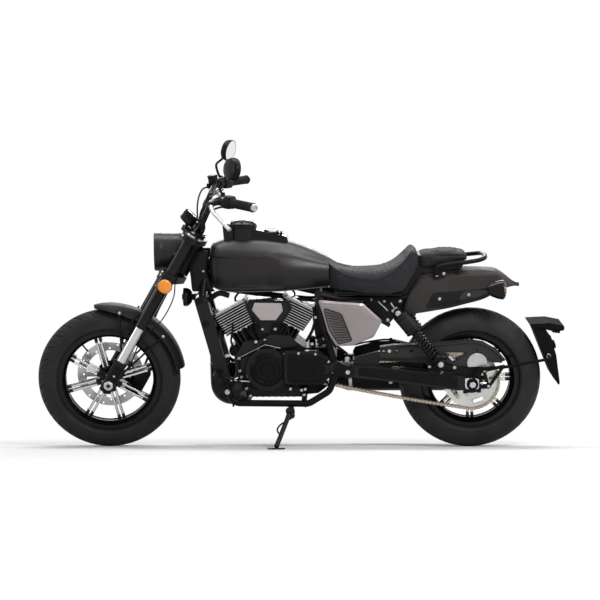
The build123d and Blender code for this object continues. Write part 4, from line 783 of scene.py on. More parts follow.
def chain_path():
    """Points along the loop, and whether each is on a sprocket."""
    big, small = pitch_radius(REAR_TEETH), pitch_radius(FRONT_TEETH)
    gap = SHAFT - WHEEL_AT
    heading = math.atan2(gap.z, gap.x)
    spread = math.acos((big - small) / gap.length)
    arcs = []
    for centre, r, start, end in (
        (WHEEL_AT, big, heading + spread, heading - spread + 2 * math.pi),
        (SHAFT, small, heading - spread, heading + spread),
    ):
        arcs.append([centre + Vector((math.cos(a), 0, math.sin(a))) * r for a in np.linspace(start, end, LOOP_STEPS)])
    out = []
    for arc, following, sag in ((arcs[0], arcs[1], 5.0), (arcs[1], arcs[0], 2.0)):
        out += [(p, True) for p in arc]
        for t in np.linspace(0, 1, LOOP_STEPS)[1:-1]:
            hang = Vector((0, 0, -sag * math.sin(math.pi * t)))
            out.append((arc[-1].lerp(following[0], t) + hang, False))
    return out


path_points = chain_path()
lengths = [0.0]
for k in range(len(path_points)):
    lengths.append(lengths[-1] + (path_points[(k + 1) % len(path_points)][0] - path_points[k][0]).length)
links = int(round(lengths[-1] / PITCH / 2)) * 2
spots = []
for k in range(links):
    want = lengths[-1] * k / links
    j = max(i for i in range(len(path_points)) if lengths[i] <= want)
    t = (want - lengths[j]) / max(1e-6, lengths[j + 1] - lengths[j])
    a, b = path_points[j], path_points[(j + 1) % len(path_points)]
    spots.append((a[0].lerp(b[0], t), a[1] and b[1]))
chain = Piece()
for k in range(links):
    p, on_sprocket = spots[k]
    q = spots[(k + 1) % links][0]
    outline = []
    along = (q - p).normalized()
    up = Vector((-along.z, 0, along.x))
    for centre, sign in ((p, -1), (q, 1)):
        for a in range(-90, 91, 30):
            d = along * (sign * cos(a)) + up * (sign * sin(a))
            outline.append(centre + d * 7.0)
        outline.append((p + q) / 2 + up * (sign * 4.8))
    for sign in SIDES:
        inner_y = CHAIN_Y + sign * (4.9 if k % 2 else 7.2)  # every other pair of plates is the outer one
        chain.side([(v.x, v.z) for v in outline], inner_y, inner_y + sign * 2.0)
        chain.knob((p.x, CHAIN_Y, p.z), (0, sign, 0), (2.6, 9.2, 10.2), (1.6, 10.6), 1, 12)
    if not on_sprocket:
        chain.lathe((p.x, CHAIN_Y, p.z), TO_LEFT, [(5.0, -4.9), (5.0, 4.9)], 1, 14)
chain.done("drive_chain_links", [CHAIN, STEEL], "chain", replaces=["drive_chain"], angle=40)

# ---------------------------------------------------------------- fork, drawn along its legs
LEG_Y, COVER_R, SLEEVE_R = 105.0, 25.0, 29.0
fork_parts = Piece()
for y in SIDES:
    leg = (0, y * LEG_Y, 0)
    # seals and rings of the sliders, covers and sleeves
    fork_parts.band(leg, UP, [(20.7, 100), (28.5, 100), (29.2, 102), (29.2, 106), (25.0, 109), (22.0, 111),
        (20.7, 111)], 1, 40)
    for z in (278, 300, 462, 500):
        r = COVER_R if z < 450 else SLEEVE_R
        fork_parts.band(leg, UP, [(r - 0.5, z - 3), (r + 1.4, z - 2), (r + 1.4, z + 2), (r - 0.5, z + 3)], 0, 40)
    fork_parts.lathe(leg, UP, [(21.5, 722), (21.5, 727), (19, 729), (13, 729), (13, 725), (0, 725)], 2, 40)
    fork_parts.knob(leg, UP, (9, 725, 733), (7.5, 734.5), 3, 6)
    # pinch bolts on the clamps and on the axle lug
    for z in (516, 530, 702):
        fork_parts.screw((34, y * (LEG_Y + 16), z), AHEAD, 4.6, 3)
    fork_parts.screw((20, y * LEG_Y, -22), (1, 0, -0.3), 4.2, 3)
    fork_parts.band((0, y * (LEG_Y + 26), 0), (0, y, 0),
        [(19, 2), (19, 7), (17, 9), (9, 9), (9, 5), (8.6, 5), (8.6, 2)], 3, 40)
    # drain and casting ribs of the slider
    fork_parts.knob((-2, y * (LEG_Y + 24), 46), (0, y, 0), (5, 0, 4), (4, 5), 3, 6)
    fork_parts.side([(-25, -20), (-27, 10), (-27, 80), (-24, 96), (-20, 96), (-20, -20)], y * (LEG_Y - 5),
        y * (LEG_Y + 5), 0)
fork_parts.lathe((-STEM_BACK, 0, 722), UP, [(19, 0), (19, 4), (14, 5), (14, 10), (12, 12), (0, 12)], 3, 6)
fork_parts.done("fork_rings_bolts", [GLOSS, SOFT, SATIN, STEEL], "satin_black", LEGS, "steering", bevel=0.4)

# front mudguard, with a pointed front end, and its stays
GUARD_R, GUARD_HALF, GUARD_T = 322.0, 72.0, 3.0
GUARD_FROM, GUARD_TO, GUARD_STEPS = 80, 171, 60


def guard_rings():
    """The guard round the front wheel, narrow at its front end, which is 80 degrees up from straight ahead."""
    rings = []
    for k in range(GUARD_STEPS + 1):
        t = k / GUARD_STEPS
        a = GUARD_FROM + (GUARD_TO - GUARD_FROM) * t
        half = GUARD_HALF * min(1, 0.30 + 2.9 * t**0.75) if t < 0.3 else GUARD_HALF
        drop = 10 + 24 * min(1, t * 3.2)
        outer, inner = [], []
        for i in range(17):
            u = -1 + 2 * i / 16
            fall, spread = drop * abs(u) ** 3.2, math.copysign(abs(u) ** 0.9, u)
            outer.append((GUARD_R - fall, half * spread))
            inner.append((GUARD_R - fall - GUARD_T, (half - GUARD_T * 0.8) * spread))
        rings.append([(r * cos(a), y, r * sin(a)) for r, y in outer + inner[::-1]])
    return rings


guard = Piece()
guard.rings(guard_rings())
# the guard takes the darker copy of the charcoal paint; its extra darkness is painted shade
guard.done("front_guard_shell", DULL_CHARCOAL_SHADED, "matte_charcoal", FRONT_HUB, "steering", replaces=["front_mudguard"], angle=50)
stays = Piece()
for y in SIDES:
    stays.tube([(-4, y * 74, 300), (-5, y * 77, 282), (-6, y * 77, 114), (-6, y * 80, 84)], 5.0, 0, 10)
    # the two arms behind the leg, from the slider to the guard's edge
    for end_angle, start in ((100, (-10, 96)), (140, (-22, 30))):
        world_angle = end_angle - RAKE
        far = (301 * cos(world_angle), y * 73.5, 301 * sin(world_angle))
        near = (start[0], y * 81, start[1])
        mid = ((far[0] + near[0]) / 2, y * 78, (far[2] + near[2]) / 2)
        stays.hose([near, mid, far], 6, 4.2, 0, 10)
        stays.screw((far[0], y * 77, far[2]), (0, y, 0), 4.5, 1)
# the forked plates under the guard's front, and the wire stay at its rear edge
for y in SIDES:
    for a, b in (((34, 318), (46, 224)), ((-18, 312), (-6, 244))):
        stays.tube([(a[0], y * 75, a[1]), ((a[0] + b[0]) / 2, y * 79, (a[1] + b[1]) / 2),
            (b[0], y * 80, b[1])], 4.0, 0, 10)
    stays.tube([(46, y * 80, 224), (-6, y * 80, 244)], 4.0, 0, 10)
stays.done("front_guard_stays", [SATIN, STEEL], "satin_black", LEGS, "steering")


# ---------------------------------------------------------------- front brake, lamp, bar and mirrors
brake = Piece()
for y0, y1 in ((-98, -77), (-63, -50)):
    brake.plate(rounded([(-146, -2), (-104, -2), (-96, 20), (-96, 62), (-104, 84), (-146, 84)], 12),
        turn("X", 90), -y0, -y1, 0)
for z in (18, 64):
    brake.lathe((-124, -97, z), TO_RIGHT, [(16, -4), (16, 2), (13, 4.5), (6, 4.5), (5.5, 3), (0, 3)], 0, 32)
    brake.screw((-146, -88, z), BACK, 4.6, 2)
brake.plate(rounded([(-150, 30), (-140, 26), (-140, 54), (-150, 52)], 3), turn("X", 90), 52, 92, 1)
for z in (4, 78):
    brake.bolt((-92, -96, z), TO_RIGHT, 5.6, 2)
hose_line = smooth([(-112, -96, 84), (-110, -99, 118), (-98, -101, 168), (-76, -98, 220), (-58, -94, 252),
    (-46, -88, 330), (-42, -80, 410), (-34, -62, 505)], 10)
brake.tube(hose_line, 4.4, 1, 12)
brake.tube(hose_line[:8], 6.2, 2, 12)
brake.lathe((-112, -96, 84), DOWN, [(6.5, -4), (6.5, 6), (0, 6)], 2, 14)
# the loop of hose and wheel sensor lead behind the left leg
brake.hose([(-38, 62, 505), (-60, 84, 452), (-66, 88, 380), (-58, 92, 318), (-34, 96, 270), (-28, 88, 210),
    (-40, 84, 120), (-26, 80, 40)], 10, 2.6, 1, 10)
for z in (210, 120):
    brake.box((-32, 84, z), (12, 12, 8), 1)
brake.done("front_caliper_hose", [SATIN, SOFT, STEEL], "satin_black", LEGS, "steering", bevel=0.8)

# headlight: bezel ring, gloss band round the nose, back plate, mount and reflector
lamp = Piece()
lamp_at = (0, 0, 838)
lamp.band(lamp_at, AHEAD, [(78.2, 1290), (78.8, 1292), (79.2, 1300), (79.4, 1316), (78.6, 1321), (75, 1324.5),
    (71, 1324), (70, 1319), (70, 1310), (69, 1308), (76, 1292)], 0, 80)
lamp.band(lamp_at, AHEAD, [(77.6, 1214), (78.2, 1216), (78.2, 1219), (77.6, 1221)], 0, 80)
lamp.lathe(lamp_at, AHEAD, [(0, 1263), (24, 1264), (42, 1272), (58, 1286), (68.4, 1306), (69.4, 1306), (60, 1284),
    (44, 1268), (24, 1261), (0, 1260)], 1, 72)
lamp.lathe(lamp_at, AHEAD, [(0, 1290), (8, 1289), (10, 1284), (10, 1266), (0, 1265)], 0, 28)
lamp.box((1292, 0, 838), (3, 118, 5), 0)
for y in SIDES:
    lamp.knob((1236, 72 * y, 838), (0, y, 0), (13, 0, 6), (11, 8), 0, 28)
    lamp.screw((1236, 80 * y, 838), (0, y, 0), 5.0, 2)
lamp.box((1250, 0, 757), (46, 22, 10), 0)
lamp.bolt((1250, 0, 753), DOWN, 5, 2)
lamp.done("headlight_trim", [CHARCOAL, CHROME, STEEL], "matte_charcoal", TURNED, "steering", bevel=0.5, angle=28)

# gauge: rim, dial with ticks and needle, glass, and its warning-lamp dots
dial = Piece()
tilt = shift(37, 0, 760) @ turn("Y", -14)
top = tilt @ Vector((0, 0, 22))
up = (tilt.to_3x3() @ Vector(UP)).normalized()
dial.band(top, up,
    [(34.6, -20), (35.6, -16), (35.6, 0), (34, 3.4), (30.5, 3.4), (29.5, 0), (29.5, -3), (34.6, -3)], 0, 56)
dial.lathe(top, up, [(0, -1.5), (30, -1.5), (30, 0.2), (0, 0.2)], 1, 56)
for k in range(31):
    long = 2.6 if k % 3 else 5
    mark = tilt @ turn("Z", -45 + 9 * k)
    dial.plate(oblong(27.5 - long, -0.4, 27.5, 0.4), mark, 22.2, 22.6, 2)
needle = tilt @ turn("Z", 215)
dial.plate([(-5, -1.2), (22, -0.5), (22, 0.5), (-5, 1.2)], needle, 23.0, 23.7, 3)
dial.lathe(top, up, [(3.6, 0), (3.6, 2.6), (0, 2.6)], 0, 20)
dial.plate(rounded(oblong(-9, -17, 9, -10), 1.5), tilt, 22.2, 22.8, 4)
dial.lathe(top, up, [(0, 2.9), (20, 2.9), (30, 2.2), (30, 1.6), (0, 2.0)], 5, 48)
dial.hose([(20, 0, 738), (-6, 10, 726), (-26, 18, 700), (-30, 20, 660)], 8, 4, 6, 12)
dial.done("gauge_dial", [SATIN, DIAL, STEEL, RED, CORE, GLASS, SOFT], "plastic", LEGS, "steering", bevel=0.4)

# grips with ribs, flanges and bar-end weights
BAR_END, BAR_BEFORE = Vector((925, 402, 1080)), Vector((1062, 232, 1086))
along = (BAR_END - BAR_BEFORE).normalized()
GRIP = 122.0
bars = Piece()
start = BAR_END - along * GRIP
bars.lathe(start, along, [(17.2, -1), (21.5, 0), (21.5, 4), (18.2, 7)], 0, 36)
for k in range(9):
    bars.band(start, along, [(16.9, 14 + 10.4 * k), (18.4, 15.4 + 10.4 * k), (18.4, 20.6 + 10.4 * k),
        (16.9, 22 + 10.4 * k)], 0, 36)
bars.band(BAR_END, along, [(18.6, -6), (19.4, -4), (19.4, 2), (18, 3), (13, 3), (13, -6)], 0, 36)
bars.lathe(BAR_END, along, [(14.5, 1), (15.6, 2), (15.6, 10), (13.6, 13.5), (8.5, 13.8), (8, 11), (0, 11)], 1, 36)
# switch box: two halves, buttons, and its cable
box_at = BAR_END - along * (GRIP + 27)
cross = along.cross(Vector(UP)).normalized()
lift = cross.cross(along).normalized()
hold = Matrix((cross, along, lift)).transposed().to_4x4()
hold.translation = box_at
outline = rounded([(-24, -23), (22, -23), (25, -6), (25, 12), (15, 26), (-20, 26), (-26, 10)], 9)
bars.rings([[hold @ Vector((x * f, y, z * f)) for x, z in outline]
    for y, f in ((-22, 0.90), (-19, 1.0), (-1, 1.02), (-0.4, 0.97), (0.4, 0.97), (1, 1.02), (19, 1.0), (23, 0.9))], 2)
for x, y, z, size, colour in ((20, -8, 19, (9, 10, 7), 1), (22, 9, 15, (7, 9, 7), 2), (-24, -4, 14, (7, 14, 6), 2),
        (25, 0, -4, (7, 12, 6), 2)):
    bars.box(hold @ Vector((x, y, z)), size, colour, hold.to_3x3().to_4x4())
# lever with its perch, reservoir and bright blade
perch = BAR_END - along * (GRIP + 65)
bars.lathe(perch, along, [(13, -14), (20, -12), (20, 12), (13, 14)], 2, 32)
pivot = perch + Vector((46, 8, -12))
bars.tube([perch + Vector((12, 0, -2)), pivot], [13, 10], 2, 16)
bars.knob(pivot, UP, (12, -9, 9), (10, 11), 2, 24)
bars.screw(pivot + Vector((0, 0, 11)), UP, 5, 1)
blade = smooth(moves(pivot, (-1, 8, -4), (-3, 24, -12), (-10, 50, -25.5), (-34, 88, -47), (-62, 132, -72),
    (-70, 144.5, -79)), 8)
rings = []
for k, q in enumerate(blade):
    t = k / (len(blade) - 1)
    ahead = (blade[min(k + 1, len(blade) - 1)] - blade[max(k - 1, 0)]).normalized()
    across = ahead.cross(Vector(UP)).normalized()
    over = across.cross(ahead)
    wide, thin = (10.0 - 1.6 * t) * (1.0 if t < 0.93 else 1.15), 6.8
    rings.append([q + across * (wide * math.cos(a)) + over * (thin * math.sin(a)) for a in angles(16)])
bars.rings(rings, 4)
# clamps of the risers
spot = FORK @ Vector((-18, 45, 758))
bars.lathe(spot, TO_LEFT, [(17, -13), (21, -11), (21, 11), (17, 13)], 2, 32)
for dx in (-15, 15):
    bars.screw(spot + Vector((dx * 0.87, 0, 12 + dx * 0.5)), (-0.5, 0, 0.87), 4.2, 1)
bars.mirrored()
# brake reservoir on the right
bars.lathe(Vector((perch.x + 30, -perch.y, perch.z + 14)), (0.1, 0, 1),
    [(19, -10), (21, -8), (21, 16), (22.4, 16.5), (22.4, 20), (20, 22), (0, 22)], 2, 36)
bars.knob(Vector((perch.x + 49, -perch.y, perch.z + 18)), AHEAD, (7, 0, 4), (5.6, 5), 5, 24)
# cables: clutch on the left, two throttle cables and the brake hose on the right, down to the head
down = [FORK @ Vector((-4, 38, 700)), FORK @ Vector((-12, 36, 650))]
clutch_run = moves(pivot, (4, -14, 0), (24, -70, -14), (42, -150, -60), (54, -214, -150))
bars.hose([*clutch_run, down[0] + Vector((26, 0, 0)), down[1]], 10, 3.0, 0, 10)
switch_run = moves(box_at, (8, -26, -20), (46, -96, -38), (90, -170, -74), (104, -214, -160))
bars.hose([*switch_run, FORK @ Vector((8, 52, 700))], 10, 4.2, 0, 10)
p = Vector((box_at.x, -box_at.y, box_at.z))
for low in (0, 9):
    throttle_run = moves(p, (10, 24, -18 - low), (50, 90, -30 - low), (96, 160, -64 - low), (110, 218, -160 - low))
    bars.hose([*throttle_run, FORK @ Vector((6 - low, -46, 700))], 10, 3.0, 0, 10)
p = Vector((pivot.x, -pivot.y, pivot.z))
brake_run = moves(p, (4, 12, 0), (34, 80, -8), (52, 160, -52), (58, 220, -150))
bars.hose([*brake_run, FORK @ Vector((14, -30, 700)), FORK @ Vector((6, -38, 630))], 10, 3.6, 0, 10)
bars.done("bar_grips_levers", [SOFT, STEEL, PLASTIC, RED, LEVER, GLASS], "rubber", TURNED, "steering", bevel=0.5)

# mirrors: oval shells with glass towards the rider, on bent stems
heads = Piece()
base = perch + Vector((-4, -4, 17))
stem_top = Vector((1003, 296, 1192))
heads.lathe(base, UP, [(10, -4), (10, 8), (8, 10), (8, 16), (5, 18)], 0, 24)
look = shift(*(stem_top + Vector((0, 18, 28)))) @ turn("Y", 78) @ turn("X", -24) @ turn("Z", 90)
behind = [look @ Vector((-24, -42, 13)), look @ Vector((-14, -26, 10))]
heads.hose([base, *moves(base, (14, -4, 36), (18, -2, 66)), *behind], 8, 5.2, 0, 14)
oval = [(56.4 * cos(a), 46.4 * sin(a)) for a in range(0, 360, 6)]
for steps, colour, closed in (  # shell, rim and glass
    (((1.0, -11.5), (1.012, -9.5), (1.012, 0), (0.97, 8), (0.86, 14.5), (0.62, 18.4), (0.25, 20)), 0, False),
    (((0.97, -11.3), (0.97, -12.4), (0.93, -12.6), (0.93, -11.3)), 0, True),
    (((0.935, -11.2), (0.935, -12.1)), 1, False),
):
    heads.rings([[look @ Vector((x * f, y * f, z)) for x, y in oval] for f, z in steps], colour, closed)
heads.mirrored()
heads.done("mirror_heads", [SATIN, MIRROR], "satin_black", TURNED, "steering", replaces=["mirrors"], angle=30)

# orange front signals: rims and lenses
signals = Piece()
for y in SIDES:
    face = (0, y * 134, 488)
    signals.band(face, (0, y, 0), [(29.5, 14), (31, 16), (31, 22), (29.6, 24.5), (28.6, 24.5), (28.6, 20)], 0, 48)
    signals.lathe(face, (0, y, 0), [(28.3, 19), (28.5, 27), (26, 31), (21, 33), (10, 34.2), (0, 34.5)], 1, 48)
signals.done("front_signal_lamps", [SATIN, AMBER], "lamp_amber", LEGS, "steering", angle=50)

# ---------------------------------------------------------------- engine
CYLINDERS = {
    "front": {"top": (1013, 605), "tilt": 28.5, "wide": 163, "narrow": 131, "foot": 185},
    "rear": {"top": (716, 626), "tilt": -26.0, "wide": 155, "narrow": 125, "foot": 205},
}
FIN_COUNT, FIN_T, FIN_BLOCK = 10, 3.2, 98.0
STEP = (FIN_BLOCK - FIN_T) / (FIN_COUNT - 1)
CRANK = (853, 359)

# bare metal edges of the fins, and the studs, tubes and gasket edges below them
edges, barrels = Piece(), Piece()
for c in CYLINDERS.values():
    at = shift(c["top"][0], 0, c["top"][1]) @ turn("Y", c["tilt"])
    up = at.to_3x3() @ Vector(UP)
    for k in range(FIN_COUNT):
        half = (c["wide"] + (c["narrow"] - c["wide"]) * k / (FIN_COUNT - 1)) / 2
        middle = -FIN_T / 2 - k * STEP
        outline = rounded(oblong(-half - 0.4, -78.5, half + 0.4, 78.5), 14.4, 6)
        edges.plate(outline, at, middle - 1.0, middle + 1.0, 0)
    # the head on top of the block
    high = c["wide"] / 2 - 8
    barrels.plate(rounded(oblong(-high, -70, high, 70), 16), at, 0, 9, 1)
    # ribbed waist, studs and pushrod tubes
    foot = -c["foot"]
    for k in range(9):
        z = -FIN_BLOCK - 7 - 7.0 * k
        if z > foot + 30:
            barrels.band(at @ Vector((0, 0, z)), up, [(50.1, -1.6), (54.5, -1.2), (54.5, 1.2), (50.1, 1.6)], 0, 48)
    for y in SIDES:
        for x, r in ((-44, 4.5), (-26, 5.5), (2, 7.0), (22, 5.5), (43, 4.5)):
            top = at @ Vector((x, y * 58, -FIN_BLOCK + 4))
            low_end = at @ Vector((x * 0.94, y * 60, foot + 20))
            barrels.rod(top, low_end, r, 0, 12)
            barrels.lathe(low_end, top - low_end, [(r + 2.6, -2), (r + 2.6, 5), (r + 0.4, 8)], 0, 14)
            barrels.lathe(at @ Vector((x, y * 58, -FIN_BLOCK - 7)), top - low_end,
                [(r + 1.8, 0), (r + 1.8, 6)], 1, 14)
    # the deck of the case under the foot, and its bolts
    barrels.plate(rounded(oblong(-70, -74, 70, 74), 12), at, foot + 2, foot + 13, 0)
    for x in (-60, -20, 20, 60):
        for y in (66, -66):
            barrels.bolt(at @ Vector((x, y, foot + 13.4)), up, 4.2, 2)
    # spark lead from under the tank, down behind the block
    way = 1 if c["tilt"] > 0 else -1
    lead = at @ Vector((-way * 30, 0, 4))
    barrels.hose(moves(lead, (0, 0, 0), (0, 0, 20), (-way * 20, 10, 44), (-way * 60, 20, 60)), 6, 4.5, 3, 10)
# throttle body, airbox neck and plumbing that close the gaps between and behind the cylinders
gap_parts = Piece()
gap_parts.side(rounded([(905, 560), (790, 560), (806, 500), (840, 470), (884, 470), (898, 505)], 8), -70, 74, 0)
gap_parts.rod((846, 0, 640), (846, 0, 545), 34, 0, 32)
gap_parts.side(rounded([(760, 520), (800, 560), (880, 560), (925, 520), (905, 470), (860, 462),
    (800, 466)], 8), -40, 52, 0)
gap_parts.side(rounded([(620, 640), (652, 640), (664, 560), (650, 470), (606, 470), (596, 560)], 8), -70, 62, 0)
for x, z in ((846, 606), (846, 580)):
    gap_parts.band((x, 0, z), UP, [(34, -3), (37, -2), (37, 2), (34, 3)], 1, 32)
gap_parts.bolt((820, 74, 520), TO_LEFT, 5, 1)
gap_parts.bolt((872, 74, 520), TO_LEFT, 5, 1)
gap_parts.done("engine_middle", [CAST, STEEL], "cast", bevel=1.2)
edges.done("cylinder_fin_edges", MACHINED, "cast", angle=30)
barrels.done("cylinder_barrels_studs", [CAST, STEEL, STEEL, SOFT], "cast", bevel=0.5)

# trapezoid cover between the cylinders: a chamfered rim, a groove and a raised bright face
rim_line = rounded([(929, 647), (760, 647), (750, 609), (786, 555), (897, 555), (938, 609)], 7)
face_line = rounded([(905, 638.5), (791.5, 636.5), (785, 604), (816, 564), (878.5, 564), (915, 607)], 5)
cover = Piece()
cover.layers(rim_line, [(1.0, 78.6), (1.0, 96), (0.985, 103), (0.93, 109.5), (0.90, 110.2), (0.885, 107.0)], 0)
cover.layers(face_line, [(1.0, 106), (1.0, 111.2), (0.975, 113.6), (0.90, 114.4), (0.4, 114.9)], 1)
cover.done("intake_cover_faces", [SATIN, COVER_FACE], "satin_black", angle=24)
duct = Piece()
duct.side(rounded([(815, 640), (905, 640), (888, 562), (868, 507), (848, 507), (828, 562)], 8), -82, 78, 0)
for x, z in ((842, 545), (872, 545), (858, 525)):
    duct.tube([(x, 62, z), (x, 74, z)], 9, 0, 20)
duct.hose([(905, 60, 560), (925, 66, 520), (905, 72, 478), (880, 74, 452)], 8, 6, 1, 12)
duct.hose([(800, 60, 560), (772, 68, 530), (760, 74, 490), (742, 80, 462)], 8, 5, 1, 12)
duct.done("intake_duct", [PLASTIC, SOFT], "plastic", bevel=1.0)

# left side covers of the crankcase
left = Piece()
stator = (CRANK[0], 0, CRANK[1])
left.lathe(stator, TO_LEFT, [(88, 96), (89.6, 98), (89.6, 116), (87, 121), (82, 124.5), (73, 126.5), (70, 129.6),
    (66.5, 133), (65.5, 138), (62, 141.5), (56, 142.8), (54, 141), (52, 141), (50, 143.2), (46, 143.8), (30, 144.4),
    (28.5, 142.2), (26.5, 142.2), (25, 144.2), (0, 144.8)], 0, 72)
for x, z in circle(79.5, 7, 12, CRANK):
    left.knob((x, 123.5, z), TO_LEFT, (8.5, -10, -1), (7.5, 0.6), 0, 20)
    left.screw((x, 124, z), TO_LEFT, 4.4, 1)
# the ribs that run from the stator's boss to its rim
for a in range(40, 400, 60):
    u, v = Vector((cos(a), 0, sin(a))), Vector((-sin(a), 0, cos(a)))
    left.rings([[Vector(stator) + u * d + v * w + Vector((0, y, 0)) for w, y in oblong(-2.2, low, 2.2, high)]
                for d, low, high in ((64, 128, 137), (84, 118, 123))], 0)
pill_line = rounded([(790, 440), (636, 436), (590, 410), (566, 366), (590, 312), (634, 290), (790, 290)], 24, 8)
left.layers(pill_line, [(1.0, 96), (1.01, 107), (1.0, 116), (0.978, 123.5), (0.94, 129.5), (0.88, 134), (0.78, 137),
    (0.6, 138.8), (0.3, 139.5)], 0)
oval = [(622 + 47 * cos(a), 362 + 24.5 * sin(a)) for a in range(0, 360, 9)]
left.layers(oval, [(1.0, 134), (1.0, 138.8), (0.94, 140.4), (0.88, 139.6), (0.86, 138.6), (0.4, 138.6)], 0)
for x, z in ((756, 277), (710, 272), (695, 276), (722, 428), (652, 424), (598, 392), (580, 350), (600, 318)):
    left.knob((x, 0, z), TO_LEFT, (9, 96, 133), (8, 134.5), 0, 20)
    left.screw((x, 134, z), TO_LEFT, 4.6, 1)
left.done("engine_left_covers", [CASE_BLACK, STEEL], "cast", bevel=0.8, angle=24)

# bosses, webs and bolts of the case
case = Piece()
for x, z in ((970, 400), (887, 436), (824, 437), (968, 347), (961, 321), (941, 272), (934, 326), (925, 240),
        (700, 244), (900, 470)):
    case.knob((x, 0, z), TO_LEFT, (11, 90, 96.5), (9.5, 98.5), 0, 24)
    case.screw((x, 98, z), TO_LEFT, 5.2, 1)
for a, b in (((970, 97, 400), (887, 97, 436)), ((887, 97, 436), (863, 92, 476)),
        ((824, 97, 437), (863, 92, 476)), ((824, 97, 437), (722, 97, 452)), ((968, 97, 347), (970, 97, 400)),
        ((968, 97, 347), (941, 97, 272)), ((941, 97, 272), (925, 97, 240))):
    case.rod(a, b, 4, 0, 12)
case.knob((863, 0, 478), TO_LEFT, (12, 70, 88), (10, 90), 0, 24)
case.bolt((863, 90, 478), TO_LEFT, 5.5, 1)
case.lathe((953, 0, 293), TO_LEFT, [(15, 90), (15, 99), (12, 101), (8, 101), (8, 97), (0, 97)], 0, 28)
case.knob((905, 0, 292), TO_LEFT, (24, 90, 97), (21, 100), 0, 32)
case.hose([(905, 100, 300), (930, 104, 306), (952, 100, 296)], 6, 4, 2, 10)
# oil filter, sump ribs and drain
case.lathe((992, 0, 330), (1, 0, 0.1), [(32, 0), (34, 4), (34, 14), (30, 18), (0, 18)], 0, 40)
for k in range(7):
    case.box((742 + 26 * k, 0, 236), (4, 170, 10), 0)
case.lathe((820, 0, 236), DOWN, [(12, 0), (12, 9), (0, 9)], 1, 6)
# speed sensor and starter, behind the front barrel
case.rod((990, -40, 425), (990, 60, 425), 24, 0, 32)
case.rod((990, 60, 425), (990, 74, 425), 18, 0, 28)
case.hose([(990, 74, 440), (1004, 80, 470), (996, 84, 520), (1000, 70, 560)], 8, 4.5, 2, 10)
case.knob((666, 0, 460), (0, 0.3, 1), (14, -22, 12), (11, 16), 0, 24)
case.bolt((666, 99, 461), TO_LEFT, 5.5, 1)
case.hose([(690, 84, 470), (664, 90, 520), (652, 92, 574), (660, 70, 610)], 8, 6.5, 2, 12)
case.bolt((651, 99, 574), TO_LEFT, 4.6, 1)
case.hose([(640, 88, 452), (600, 104, 470), (560, 108, 452), (520, 96, 420)], 8, 5.0, 2, 12)
# the bare edge of the deck, a wide V seen between the cylinders
case.tube([(979, 98, 398), (863, 98, 458)], 1.7, 1, 8)
case.tube([(863, 98, 458), (788, 98, 441)], 1.7, 1, 8)
case.done("crankcase_details", [CASE_BLACK, STEEL, SOFT], "cast", bevel=0.6)
# right side: clutch cover, caps and bolts
right = Piece()
clutch = (800, 0, 352)
right.lathe(clutch, TO_RIGHT, [(104, 96), (105.4, 98), (105.4, 124), (102, 130), (94, 133.8), (76, 135), (73, 138),
    (71, 142), (66, 143.4), (62, 141.6), (40, 141.6), (36, 143.6), (0, 144.4)], 0, 80)
for x, z in circle(95, 9, 8, (800, 352)):
    right.knob((x, -131, z), TO_RIGHT, (9, -12, 0), (8, 1.4), 0, 20)
    right.screw((x, -132, z), TO_RIGHT, 4.6, 1)
right.lathe((905, 0, 300), TO_RIGHT, [(34, 94), (34, 106), (30, 110), (26, 111), (0, 111)], 0, 40)
right.knob((690, 0, 300), TO_RIGHT, (22, 94, 104), (19, 107), 0, 36)
right.knob((900, 0, 410), TO_RIGHT, (16, 90, 100), (13, 103), 0, 28)
for x, z in ((970, 400), (887, 446), (968, 340), (930, 252), (700, 440), (610, 430), (585, 380),
        (590, 310), (700, 256)):
    right.screw((x, -95.5, z), TO_RIGHT, 5.0, 1)
right.done("engine_right_covers", [CASE_BLACK, STEEL], "cast", bevel=0.8, angle=24)

# exhaust: the front pipe with its clamps, and the heat shield on the bend
pipework = Piece()
pipework.hose([(1052, 42, 400), (1052, 42, 330), (1048, 42, 268), (1024, 38, 240), (985, 31, 234), (940, 25, 232)],
    10, 43.4, 0, 40)
pipework.band((1052, 42, 372), UP, [(43, -5), (46, -4), (46, 4), (43, 5)], 1, 40)
pipework.band((941, 24, 232), (1, 0.13, 0), [(43, -4), (46.4, -3), (46.4, 5), (43, 6)], 1, 40)
pipework.box((1052, 88, 374), (18, 10, 14), 1)
pipework.bolt((1052, 93, 374), TO_LEFT, 4, 1)
shield = [(1010, 300), (1004, 236), (950, 206), (930, 214), (936, 258), (968, 282), (986, 306)]
pipework.layers(rounded(shield, 10), [(1.0, 62), (1.0, 72), (0.9, 80), (0.6, 84)], 2)
for x, z in ((996, 284), (958, 230)):
    pipework.screw((x, 79, z), TO_LEFT, 4.5, 1)
pipework.hose([(1030, 30, 530), (1050, 36, 512), (1058, 41, 480), (1055, 42, 440), (1053, 42, 404)], 8, 22.2, 0, 28)
pipework.lathe((1030, 30, 530), (-0.8, -0.2, 0.6), [(30, -9), (30, -3), (24, -1)], 1, 32)
# muffler on the right: end cap, strap and outlet
back = Vector((-1, 0, 0.04)).normalized()
start = Vector((570, -184, 252))
pipework.lathe(start, back, [(31, 0), (51, 60), (51, 66), (49.5, 68), (51, 70), (51, 470), (49.5, 474), (48, 476),
    (41, 500), (28, 503), (26, 498), (26, 440), (0, 440)], 3, 56)
for d in (66, 240, 404):
    pipework.band(start + back * d, back, [(50.5, -8), (53, -7), (53, 7), (50.5, 8)], 1, 56)
pipework.box(start + back * 240 + Vector((0, 8, 58)), (30, 8, 26), 1)
pipework.box(start + back * 240 + Vector((0, 8, 66)), (22, 8, 20), 1)
pipework.bolt(start + back * 240 + Vector((0, 2, 66)), TO_RIGHT, 5, 1)
pipework.done("exhaust_details", [PIPE, STEEL, SHIELD, SATIN], "satin_black", bevel=0.5)

